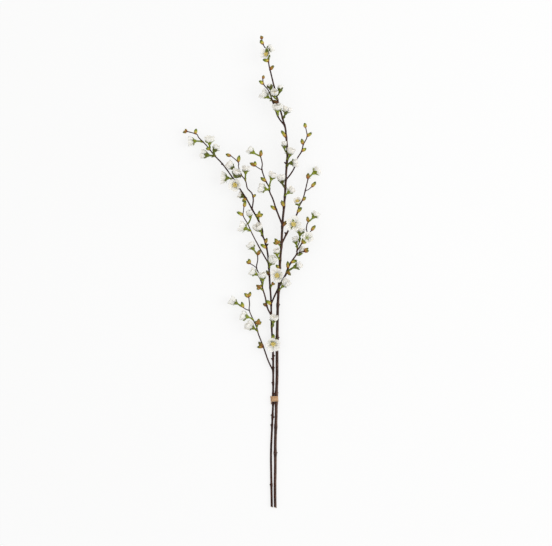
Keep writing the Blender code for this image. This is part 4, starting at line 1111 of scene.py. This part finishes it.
def fibre_group():
    """Fine fibres that run along a piece, from the place across it and the way along it."""
    inputs = {"Place": "vector", "Width": "number", "Stretch": "number"}
    graph, given, end = new_graph("Fibre", "ShaderNodeTree", inputs, {"Mask": "number"})
    x, y, run = graph.split(given["Place"])
    width = given["Width"]
    spot = graph.combine(x / width, y / width, run / width / given["Stretch"])
    graph.feed(end.inputs["Mask"], graph.range(graph.noise(spot, 1.0, 3.0, 0.6), 0.3, 0.7))
    return graph.tree


def new_surface(name, **constants):
    """A material: its graph and its shader, with the numbers that are the same all over it."""
    material = bpy.data.materials.new(name)
    material.use_nodes = True
    graph = Graph(material.node_tree)
    shader = material.node_tree.nodes["Principled BSDF"]
    for key, value in constants.items():
        shader.inputs[key.replace("_", " ").title().replace("Ior", "IOR")].default_value = value
    return material, graph, shader


def attribute(graph, name, output="Fac"):
    node = graph.add("ShaderNodeAttribute", attribute_name=name)
    return Value(graph, node.outputs[output])


def place_here(graph):
    return graph.out("ShaderNodeTexCoord", output=3)


def use_group(graph, tree, feeds):
    node = graph.add("ShaderNodeGroup", node_tree=tree)
    for key, value in feeds.items():
        graph.feed(node.inputs[key], value)
    return Value(graph, node.outputs[0])


def mottle(graph, groups, patch, contrast):
    """Soft patches of a size in mm all over a piece, as a mask from 0 to 1."""
    feeds = {"Place": place_here(graph), "Patch": (patch * MM,) * 3, "Contrast": contrast}
    return use_group(graph, groups["mottle"], feeds)


def fibres(graph, groups, width, stretch):
    """Fibres of a width in mm along a tube, as a mask from 0 to 1."""
    feeds = {"Place": attribute(graph, "place", "Vector"), "Width": width * MM, "Stretch": stretch}
    return use_group(graph, groups["fibre"], feeds)


def dress(graph, shader, colour, relief=None, depth=0.0, roughness=None):
    """Feeds a shader its colour and, where they vary, its roughness and a relief of a depth in mm."""
    graph.feed(shader.inputs["Base Color"], colour)
    if relief is not None:
        feeds = {"Height": relief, "Distance": depth * MM, "Strength": 1.0}
        graph.feed(shader.inputs["Normal"], graph.out("ShaderNodeBump", feeds))
    if roughness is not None:
        graph.feed(shader.inputs["Roughness"], roughness)


def ramp(graph, value, stops):
    """A colour along a ramp, from a table of places and colours."""
    node = graph.add("ShaderNodeValToRGB", {"Fac": value})
    points = node.color_ramp.elements
    while len(points) < len(stops):
        points.new(0.5)
    for point, (place, colour) in zip(points, stops.items()):
        point.position = place
        point.color = linear(colour)
    return Value(graph, node.outputs["Color"])


def bark_finish(groups):
    """Dark, smooth young bark: reddish patches, browner where it is thin, and a pale film that is painted
    thickest on the side facing the key lamp, as a painted highlight.
    """
    material, graph, shader = new_surface("bark", specular_ior_level=0.2)
    patches = mottle(graph, groups, *BARK_PATCHES)
    fine = mottle(graph, groups, *BARK_GRAIN)
    fibre = fibres(graph, groups, *BARK_FIBRES)
    tone = attribute(graph, "tone")
    thin = graph.range(attribute(graph, "thick"), *THIN_BARK, 1.0, 0.0)
    film = graph.range(patches * 0.5 + fine * 0.5, 0.35, 0.75, 0.0, 0.8)
    # Painted light: a mask of how far the bark faces the key lamp at +X.
    lit_side = graph.range(attribute(graph, "lit_side"), -0.1, 0.8)
    colour = graph.blend(patches, BARK_DARK, BARK_RED)
    colour = graph.blend(thin * 0.75, colour, BARK_THIN)
    # Painted highlight and shade: the pale film gathers on the side towards the key lamp, most on the right
    # stem and hardly at all on the left one, which stays dark as painted shade.
    colour = graph.blend(film * tone * lit_side, colour, BARK_FILM_AND_HIGHLIGHT)
    colour = graph.blend(fibre * 0.35, colour, BARK_CRACK)
    roughness = graph.range(tone - fine * 0.25, 0.0, 0.8, *BARK_ROUGHNESS)
    dress(graph, shader, colour, fine * 0.5 + fibre * 0.5, BARK_RELIEF, roughness)
    return material


def mottled_finish(name, groups, patch, colours, relief=0.0, contrast=2.5, roughness=0.7):
    """Patches of two colours, of a size and a relief in mm."""
    material, graph, shader = new_surface(name, roughness=roughness)
    mask = mottle(graph, groups, patch, contrast)
    dress(graph, shader, graph.blend(mask, *colours), mask if relief else None, relief)
    return material


def scale_finish(name, groups, colours, speck):
    """Bud scales and calyces: brown at the foot, yellow-olive, then green towards the tip, and darker where
    the tone is below 0, partly as painted shade.
    """
    material, graph, shader = new_surface(name, specular_ior_level=0.3)
    tone = attribute(graph, "tone")
    mask = mottle(graph, groups, *SCALE_PATCHES)
    fine = mottle(graph, groups, *SCALE_GRAIN)
    way = attribute(graph, "rise") + (mask - 0.5) * 0.5
    dark, brown, green = (ramp(graph, way, stops) for stops in colours)
    colour = graph.blend(graph.range(tone, 0.0, 1.0), brown, green)
    # Painted shade, in part: a tone below 0 darkens towards the darkest ramp.
    colour = graph.blend(graph.range(tone, 0.0, -1.0), colour, dark)
    colour = graph.blend(fine * 0.25, colour, speck)
    dress(graph, shader, colour, fine, SCALE_RELIEF, graph.range(mask, 0.0, 1.0, *SCALE_ROUGHNESS))
    return material


def petal_finish(groups):
    """White petals: fine veins that fan out from a greenish foot, and a breath of pink."""
    material, graph, shader = new_surface(
        "petal", specular_ior_level=0.3, subsurface_weight=0.6, subsurface_radius=PETAL_GLOW,
        subsurface_scale=3.0 * MM,
    )
    x, along, _ = graph.split(attribute(graph, "place", "Vector"))
    tone = attribute(graph, "tone")
    wobble = graph.noise(graph.combine(x * 2.0, along * 3.0, tone * 30.0), 5.0)
    fan = x / (along * 0.9 + 0.35) * VEIN_TURNS
    lines = graph.math("SINE", fan + wobble * 9.0) * 0.5 + 0.5
    veins = lines * lines * lines * graph.range(along, 0.97, 0.55)
    blush = mottle(graph, groups, *PETAL_PATCHES) * graph.range(along, 0.3, 1.0)
    blush = blush * graph.range(tone, 0.35, 0.65)
    colour = ramp(graph, along, {0.0: PETAL_FOOT, 0.28: PETAL_WHITE})
    colour = graph.blend(veins * 0.35, colour, PETAL_VEIN)
    colour = graph.blend(blush * 0.6, colour, PETAL_BLUSH)
    dress(graph, shader, colour, veins, PETAL_RELIEF, graph.range(veins, 0.0, 1.0, *PETAL_ROUGHNESS))
    return material


def raffia_finish(groups):
    """Dry straw-coloured fibre: dark streaks along its fibres, partly its own colour and partly painted shade
    in the creases, and painted shade on the side away from the key lamp.
    """
    material, graph, shader = new_surface("raffia", roughness=0.6, sheen_weight=0.2)
    fibre = fibres(graph, groups, *RAFFIA_FIBRES)
    patches = mottle(graph, groups, *RAFFIA_PATCHES)
    # Painted shade on the side turned away from the key lamp.
    painted_shade = graph.range(attribute(graph, "lit_side"), 0.0, -0.45, 0.0, 0.6) * graph.range(patches, 0.2, 0.7)
    colour = graph.blend(attribute(graph, "tone") * 0.6 + patches * 0.4, RAFFIA_DEEP, RAFFIA_PALE)
    # Dark streaks along the fibres: partly the raffia's own colour, partly painted shade in its creases.
    colour = graph.blend(fibre * 0.6, colour, RAFFIA_STREAK_AND_SHADE)
    colour = graph.blend(painted_shade, colour, RAFFIA_STREAK_AND_SHADE)
    dress(graph, shader, colour, fibre, RAFFIA_RELIEF)
    return material


def floor_finish():
    material, graph, shader = new_surface("pale_floor", roughness=0.9, specular_ior_level=0.0)
    dress(graph, shader, graph.blend(graph.noise(place_here(graph), 2.5), FLOOR_SHADE, FLOOR_PALE))
    shader.inputs["Emission Color"].default_value = WHITE_LIGHT
    shader.inputs["Emission Strength"].default_value = FLOOR_GLOW
    return material


def cut_end(mesh, route):
    """Slants the cut end of a stem and gives it a face of pale wood inside a rim of bark."""
    foot = route.points[0]
    bm = bmesh.new()
    bm.from_mesh(mesh)
    near = [face for face in bm.faces if (face.calc_center_median() - foot).length < CUT_REACH]
    cap = max(near, key=lambda face: len(face.verts))
    for vertex in cap.verts:
        vertex.co.y += (vertex.co.x - foot.x) * CUT_SLANT_ACROSS + (vertex.co.z - foot.z) * CUT_SLANT_UP
    rim = bmesh.ops.inset_region(bm, faces=[cap], thickness=CUT_RIM, depth=0.0)
    cap.material_index = 1
    cap.smooth = False
    for face in rim["faces"]:
        face.smooth = False
    bm.to_mesh(mesh)
    bm.free()


def stub_line(root, tip):
    """A knot or stub: wide at the bark, narrower at its blunt end."""
    lean = Vector((0.0, 0.5 * (tip - root).length, 0.0))
    points = [root.lerp(tip, share) + lean * share * share for share, _ in STUB_SHAPE]
    radii = [size * STUB_RADIUS for _, size in STUB_SHAPE]
    return Line(points, radii, 0.5)


def knots_of(side, routes):
    """Where anything grows out of a branch: its buds, blossoms, stubs and twigs."""
    places = [group[0] for group in BUDS[side]] + STUBS[side]
    places += [bloom.foot for bloom in BLOOMS if bloom.branch == side]
    return [nearest_on(routes, *place) for place in places] + [
        routes[limb.name].points[0] for limb in LIMBS[side] if limb.parent
    ]


def start_bark(side, routes, kit):
    """The bare wood of a branch, as drafts."""
    knots = knots_of(side, routes)
    drafts = []
    for name, route in routes.items():
        tone = BARK_FILM_AND_LIGHT.get(name, BARK_TONE)
        line = route.fine_line(knots, FULLER_BARK.get(name, BARK_FULLNESS), tone)
        drafts.append(start_tube(name, [line], "bark", kit, TUBE_SIDES, BARK_LUMP, BARK_LUMP_SIZE))
    lines = []
    for x, y in STUBS[side]:
        root = nearest_on(routes, x, y)
        lines.append(stub_line(root, plan(x, y, root.z)))
    drafts.append(start_tube(f"{side}_stubs", lines, "bark", kit, STUB_SIDES, BARK_LUMP, STUB_LUMP_SIZE))
    return drafts


def finish_bark(side, drafts, routes, kit):
    for draft in drafts:
        settle(draft)
    stem = drafts[0]
    stem.data.materials.append(kit["cut_wood"])
    cut_end(stem.data, routes[stem.name])
    dots = []
    for number, draft in enumerate(drafts[:-1]):
        values = {**DOT_SIZES, "Seed": SEED + number, "Material": kit["lenticel"]}
        dots.append(give_shape(f"{draft.name}_dots", draft.data.copy(), kit["dots"], values))
    piece = join(f"bark_{side}", drafts + [settle(dot) for dot in dots])
    hand_over(piece, "bark", f"branch_{side}")


def bloom_axis(bloom):
    run = plan(*bloom.face) - plan(*bloom.seat)
    run.normalize()
    tilt = math.radians(bloom.tilt)
    return Vector((run.x * math.cos(tilt), run.y * math.cos(tilt), math.sin(tilt)))


def petal_nodes(bloom):
    """The four nodes of the line that every petal of a blossom bends along: radius and height."""
    width = bloom.width * STEP
    depth = bloom.depth * STEP
    nodes = [Vector((CLAW_RADIUS, CLAW_HEIGHT, 0.0))]
    for radii, heights in PETAL_NODES:
        nodes.append(Vector((mix(*radii, bloom.opening) * width, mix(*heights, bloom.opening) * depth, 0.0)))
    return nodes


def start_of_line(nodes, t):
    """The nodes of a line's first part, up to t."""
    levels = [nodes]
    while len(levels[-1]) > 1:
        row = levels[-1]
        levels.append([a.lerp(b, t) for a, b in zip(row, row[1:])])
    return [row[0] for row in levels]


def start_petals(number, bloom, rng, kit):
    """The five petals of a blossom, standing on the origin."""
    opening = bloom.opening
    return start_whorl(
        f"petals_{number:02d}", petal_nodes(bloom), PETAL_THICKNESS, "petal", kit,
        count=PETALS, **PETAL_GRID, half_angle=math.radians(mix(*PETAL_HALF_ANGLES, opening)),
        foot_width=mix(*CLAW_WIDTHS, opening), point=0.0, lap=PETAL_LAP, cup=mix(*PETAL_CUPS, opening),
        ruffle=PETAL_RUFFLE, notch=rng.uniform(*PETAL_NOTCH), sway=PETAL_SWAY, reach=1.0,
        tone=rng.uniform(*PETAL_TONES), seed=SEED + 10 * number,
    )


def stalk_line(foot, seat, axis, fullness, rng):
    """The flower stalk, curving into the urn under the petals."""
    neck = seat - axis * NECK_DROP
    reach = (neck - foot).length
    middle = foot.lerp(neck, 0.5) - axis * reach * STALK_BEND
    middle += Vector((rng.uniform(-1, 1), rng.uniform(-1, 1), 0.0)) * reach * STALK_WANDER
    points = curved_line(foot, middle, neck, STALK_STEPS)
    sizes = [mix(STALK_FOOT, 1.0, min(i / 2, 1.0)) * STALK_RADIUS for i in range(len(points))]
    for share, size in URN:
        points.append(neck.lerp(seat, share))
        sizes.append(size * NECK_RADIUS)
    return Line(points, [fullness * size for size in sizes], rng.uniform(*STALK_TONES))


def start_sepals(number, bloom, tone, rng, kit):
    """Five pointed sepals that clasp the foot of a blossom."""
    nodes = petal_nodes(bloom)
    length = sum((b - a).length for a, b in zip(nodes, nodes[1:]))
    reach = min(LONG_SEPALS.get(number, SEPAL_REACH), rng.uniform(*SEPAL_LENGTH) / length)
    nodes = [node + Vector(SEPAL_SHIFT) for node in start_of_line(nodes, reach)]
    nodes[-1] += Vector((rng.uniform(*SEPAL_TIP_OUT), rng.uniform(*SEPAL_TIP_UP), 0.0)) * MM
    return start_whorl(
        f"sepals_{number:02d}", nodes, SEPAL_THICKNESS, "calyx", kit, **SEPAL_SHEET, count=SEPALS, columns=7,
        half_angle=SEPAL_HALF_ANGLE, sway=0.16, reach=0.7, tone=tone, seed=SEED + 10 * number + 5,
    )


def start_bracts(number, foot, line, rng, kit):
    """Two or three small leaves round the foot of a flower stalk."""
    length = rng.uniform(*BRACT_LENGTH)
    nodes = [Vector((size * MM, share * length, 0.0)) for size, share in BRACT_SHAPE]
    draft = start_whorl(
        f"bracts_{number:02d}", nodes, SEPAL_THICKNESS, "calyx", kit, **SEPAL_SHEET, count=rng.choice((2, 3)),
        columns=5, half_angle=BRACT_HALF_ANGLE, sway=0.22, reach=0.9, tone=line.tone,
        seed=SEED + 10 * number + 7,
    )
    axis = (line.points[3] - foot).normalized()
    return draft, stand(axis, rng.uniform(0, math.tau), foot)


def turned_out(angle):
    return Vector((math.cos(angle), math.sin(angle), 0.0))


def tuft_lines(bloom, place, rng):
    """The filaments and styles of a blossom, and where the anthers go."""
    opening = min(max((bloom.opening - HALF_OPEN) / (1.0 - HALF_OPEN), 0.0), 1.0)
    spread = mix(STAMEN_SPREAD_CUP, STAMEN_SPREAD_OPEN, opening)
    height = min(STAMEN_HEIGHT, bloom.depth * STEP * STAMEN_DEPTH)
    base = Vector((0, 0, CLAW_HEIGHT * 0.4))
    filaments = []
    for number in range(STAMENS):
        out = turned_out(number * GOLDEN_ANGLE + rng.uniform(-0.2, 0.2))
        far = spread * math.sqrt((number + 0.7) / STAMENS)
        tip = out * far + Vector((0, 0, height * rng.uniform(*STAMEN_LENGTHS)))
        middle = out * (STAMEN_FOOT + far) * 0.6 + Vector((0, 0, height * 0.4))
        points = [place @ point for point in curved_line(out * STAMEN_FOOT + base, middle, tip, 4)]
        filaments.append(Line(points, [FILAMENT_RADIUS] * len(points), 0.5))
    styles = []
    for number in range(STYLES):
        out = turned_out(math.tau * number / STYLES + 0.4)
        tip = out * spread * 0.16 + Vector((0, 0, height * 0.9))
        foot = out * STAMEN_FOOT * 0.3 + base
        points = [place @ point for point in curved_line(foot, foot.lerp(tip, 0.5), tip, 3)]
        styles.append(Line(points, [FILAMENT_RADIUS * size for size in STYLE_SIZES], 0.5))
    return filaments, styles


def make_tufts(side, tufts, kit):
    """All the stamens and styles of a branch, as one piece."""
    filaments = [line for tuft in tufts for line in tuft[0]]
    styles = [line for tuft in tufts for line in tuft[1]]
    tips = [line.points[-1] for tuft in tufts if tuft[2] for line in tuft[0]]
    anthers = bpy.data.meshes.new(f"{side}_anther_places")
    anthers.from_pydata(tips, [], [])
    values = {"Lobe": ANTHER, "Seed": SEED, "Material": kit["anther"]}
    drafts = [
        start_tube("filaments", filaments, "filament", kit, FILAMENT_SIDES),
        start_tube("styles", styles, "style", kit, FILAMENT_SIDES),
        give_shape("anthers", anthers, kit["anthers"], values),
    ]
    return join(f"stamens_{side}", [settle(draft) for draft in drafts])


def start_bud(name, foot, tip, radius, tone, rng, kit):
    """A bud: its core's line, and the drafts of its outer and inner scales."""
    reach = (tip - foot).length
    place = stand((tip - foot).normalized(), rng.uniform(0, math.tau), foot)
    points = [foot.lerp(tip, share) for share, _ in BUD_CORE]
    core = Line(points, [size * radius for _, size in BUD_CORE], tone)
    drafts = []
    for kind, (count, half_angle, shape) in enumerate(BUD_SCALES):
        nodes = [Vector((size * radius, share * reach, 0.0)) for size, share in shape]
        draft = start_whorl(
            f"{name}_{kind}", nodes, SCALE_THICKNESS, "bud", kit, **SCALE_SHEET, count=count,
            half_angle=math.radians(half_angle), reach=shape[-1][1], tone=tone, seed=rng.randrange(10000),
        )
        drafts.append((draft, place @ Matrix.Rotation(kind * SCALE_TURN, 4, "Z")))
    return core, drafts


def start_buds(side, routes, rng, looks, kit):
    """All the buds of a branch, with the stalks that some share."""
    cores = []
    stalks = []
    drafts = []
    for number, (place, tips) in enumerate(BUDS[side]):
        foot = nearest_on(routes, *place)
        if place in BUD_STALKS:
            end = plan(*BUD_STALKS[place], foot.z + BUD_STALK_LIFT)
            points = curved_line(foot, foot.lerp(end, 0.5), end, 4)
            stalks.append(Line(points, [BUD_STALK_RADIUS] * len(points), 0.4))
            foot = end
        for i, (x, y, turned) in enumerate(tips):
            reach = (plan(x, y) - Vector((foot.x, foot.y, 0))).length
            height = foot.z + reach * rng.uniform(*BUD_LEAN)
            radius = min(BUD_RADIUS, reach * BUD_FATNESS)
            tone = turned + BUD_GREENING + looks.uniform(-BUD_TONE_SPREAD, BUD_TONE_SPREAD)
            name = f"{side}_bud_{number}_{i}"
            core, scales = start_bud(name, foot, plan(x, y, height), radius, tone, looks, kit)
            cores.append(core)
            drafts.extend(scales)
    return cores, stalks, drafts


def make_buds(side, parts, kit):
    cores, stalks, scales = parts
    core = start_tube("cores", cores, "bud", kit, BUD_SIDES)
    stalk = start_tube("bud_stalks", stalks, "calyx", kit, STALK_SIDES)
    hand_over_hairy("buds", "bud", side, [(core, None), (stalk, None), *scales], kit)


def make_flowers(routes, rng, looks, kit):
    """Every blossom with its stalk, calyx and stamens."""
    petals = []
    for number, bloom in enumerate(BLOOMS, start=1):
        roll = rng.uniform(0, math.tau / PETALS)
        petals.append((bloom, roll, start_petals(number, bloom, looks, kit)))
    stalks, sepals, tufts = ({side: [] for side in SIDES} for _ in range(3))
    for number, (bloom, roll, draft) in enumerate(petals, start=1):
        side = bloom.branch
        axis = bloom_axis(bloom)
        settle(draft)
        foot = nearest_on(routes[side], *bloom.foot)
        seat = plan(*bloom.seat, foot.z + bloom.lift * MM)
        if number in RESTING:
            turn = stand(axis, roll, Vector())
            seat.z = REST_CLEARANCE - min((turn @ vertex.co).z for vertex in draft.data.vertices)
        place = stand(axis, roll, seat)
        draft.data.transform(place)
        hand_over(draft, "petal", f"blossom_{number:02d}")
        line = stalk_line(foot, seat, axis, FULLER_CALYXES.get(number, 1.0), looks)
        line = line._replace(tone=CALYX_TONES.get(number, line.tone))
        stalks[side].append(line)
        turned = place @ Matrix.Rotation(math.pi / SEPALS, 4, "Z")
        sepals[side].append((start_sepals(number, bloom, line.tone, looks, kit), turned))
        sepals[side].append(start_bracts(number, foot, line, looks, kit))
        if bloom.opening > CLOSED:
            tufts[side].append((*tuft_lines(bloom, place, looks), number not in FADED))
    for side in SIDES:
        name = f"{side}_stalks"
        stalk = start_tube(name, stalks[side], "calyx", kit, STALK_SIDES, STALK_LUMP, STALK_LUMP_SIZE)
        hand_over_hairy("calyces", "calyx", side, [(stalk, None), *sepals[side]], kit)
        wide = [
            f"stamens_{number:02d}" for number, bloom in enumerate(BLOOMS, start=1)
            if bloom.branch == side and bloom.opening >= WIDE_OPEN
        ]
        hand_over(make_tufts(side, tufts[side], kit), "stamen", *wide)


def tie_spot(share, swell):
    """A place on the loop round both stems, at a share of the way round."""
    arc = share % 1.0 * 2
    x, z, radius = TIE_ROUNDS[int(arc)]
    first = -90 if arc < 1 else 90
    angle = math.radians(first + 180 * (arc % 1.0))
    out = Vector((math.cos(angle), math.sin(angle)))
    return Vector((x, z)) * MM + out * (radius * MM + swell)


def waves(table, turns, phase):
    return sum(size * math.sin(turns * pace + shift * phase) for size, pace, shift in table)


def wound_fibre(number, rng):
    """One fibre of the ribbon that is wound round both stems."""
    points = []
    phase = rng.uniform(0, math.tau)
    swell = rng.uniform(*FIBRE_SWELL) * MM
    first = (number + 0.5) / FIBRES_IN_WRAP * WRAP_WIDTH - TIE_WRAPS * WRAP_WIDTH / 2
    for step in range(TIE_WRAPS * TIE_STEPS + 1):
        turns = step / TIE_STEPS
        spot = tie_spot(turns, swell + waves(SWELL_WAVES, turns, phase))
        drift = turns * (TIE_WRAPS - 1) / TIE_WRAPS * WRAP_WIDTH + waves(WANDER_WAVES, turns, phase)
        height = max(spot.y, FIBRE_RADII[1] + FIBRE_LUMP + REST_CLEARANCE)
        points.append(Vector((spot.x, first + drift, height)))
    radii = [mix(*FIBRE_RADII, 0.5 + 0.5 * math.sin(i * FIBRE_PACE + phase)) for i in range(len(points))]
    return Line(points, radii, rng.uniform(*FIBRE_TONES))


def make_tie(rng, kit):
    """Raffia wound five times round both stems, each wrap a ribbon of a few fibres, with two loose ends."""
    lines = [wound_fibre(number, rng) for number in range(FIBRES_IN_WRAP)]
    for nodes in TIE_ENDS:
        points = curved_line(*(Vector(node) * MM for node in nodes), TIE_END_STEPS)
        radii = [mix(*reversed(FIBRE_RADII), i / TIE_END_STEPS) for i in range(TIE_END_STEPS + 1)]
        lines.append(Line(points, radii, 0.3))
    draft = start_tube("raffia", lines, "raffia", kit, FIBRE_SIDES, FIBRE_LUMP, FIBRE_LUMP_SIZE)
    settle(draft, Matrix.Rotation(TIE_TURN, 4, "Z"))
    hand_over(draft, "raffia", "raffia_tie")


def make_kit():
    """The shape trees and the materials, by name."""
    groups = {"mottle": mottle_group(), "fibre": fibre_group()}
    kit = {
        "tube": tube_shape(), "whorl": whorl_shape(), "dots": dot_shape(), "anthers": anther_shape(),
        "hairs": hair_shape(), "bark": bark_finish(groups), "petal": petal_finish(groups),
        "raffia": raffia_finish(groups), "bud": scale_finish("bud", groups, BUD_COLOURS, BUD_SPECK),
        "calyx": scale_finish("calyx", groups, CALYX_COLOURS, CALYX_SPECK),
        "lenticel": mottled_finish("lenticel", groups, 1.0, LENTICEL_COLOURS, contrast=2.0, roughness=0.8),
        "cut_wood": mottled_finish("cut_wood", groups, 1.2, CUT_COLOURS, relief=0.15),
    }
    for name, colours in POWDERY_COLOURS.items():
        kit[name] = mottled_finish(name, groups, 0.9, colours, relief=0.1)
    return kit


def make_floor():
    mesh = bpy.data.meshes.new("floor")
    half = FLOOR_SIDE / 2
    corners = [(-half, -half, 0), (half, -half, 0), (half, half, 0), (-half, half, 0)]
    mesh.from_pydata(corners, [], [(0, 1, 2, 3)])
    mesh.materials.append(floor_finish())
    new_object("floor", mesh)


def add_lamp(name, place, aim, side, power):
    data = bpy.data.lights.new(name, "AREA")
    data.size = side
    data.energy = power
    lamp = new_object(name, data)
    lamp.location = place
    lamp.rotation_euler = (Vector(aim) - Vector(place)).to_track_quat("-Z", "Y").to_euler()


def light_scene():
    for lamp in LAMPS:
        add_lamp(*lamp)
    world = bpy.data.worlds.new("studio")
    world.use_nodes = True
    sky = world.node_tree.nodes["Background"]
    sky.inputs["Color"].default_value = WHITE_LIGHT
    sky.inputs["Strength"].default_value = SKY_STRENGTH
    bpy.context.scene.world = world
    bpy.context.scene.view_settings.view_transform = "Standard"


def add_camera():
    data = bpy.data.cameras.new("camera")
    data.sensor_fit = "HORIZONTAL"
    data.sensor_width = SENSOR
    data.lens = LENS
    data.clip_end = FAR_CLIP
    camera = new_object("camera", data)
    camera.location = plan(*FRAME_MIDDLE, MEAN_HEIGHT + FRAME_STEPS * STEP * LENS / SENSOR)
    bpy.context.scene.camera = camera


def main():
    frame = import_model()
    add_camera()
    light_scene()
    make_floor()
    kit = make_kit()
    rng = random.Random(SEED)
    looks = random.Random(SEED + 1)
    routes = {side: build_routes(LIMBS[side]) for side in SIDES}
    make_flowers(routes, rng, looks, kit)
    for side in SIDES:
        bark = start_bark(side, routes[side], kit)
        buds = start_buds(side, routes[side], rng, looks, kit)
        finish_bark(side, bark, routes[side], kit)
        make_buds(side, buds, kit)
    make_tie(looks, kit)
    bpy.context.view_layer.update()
    return frame


main()
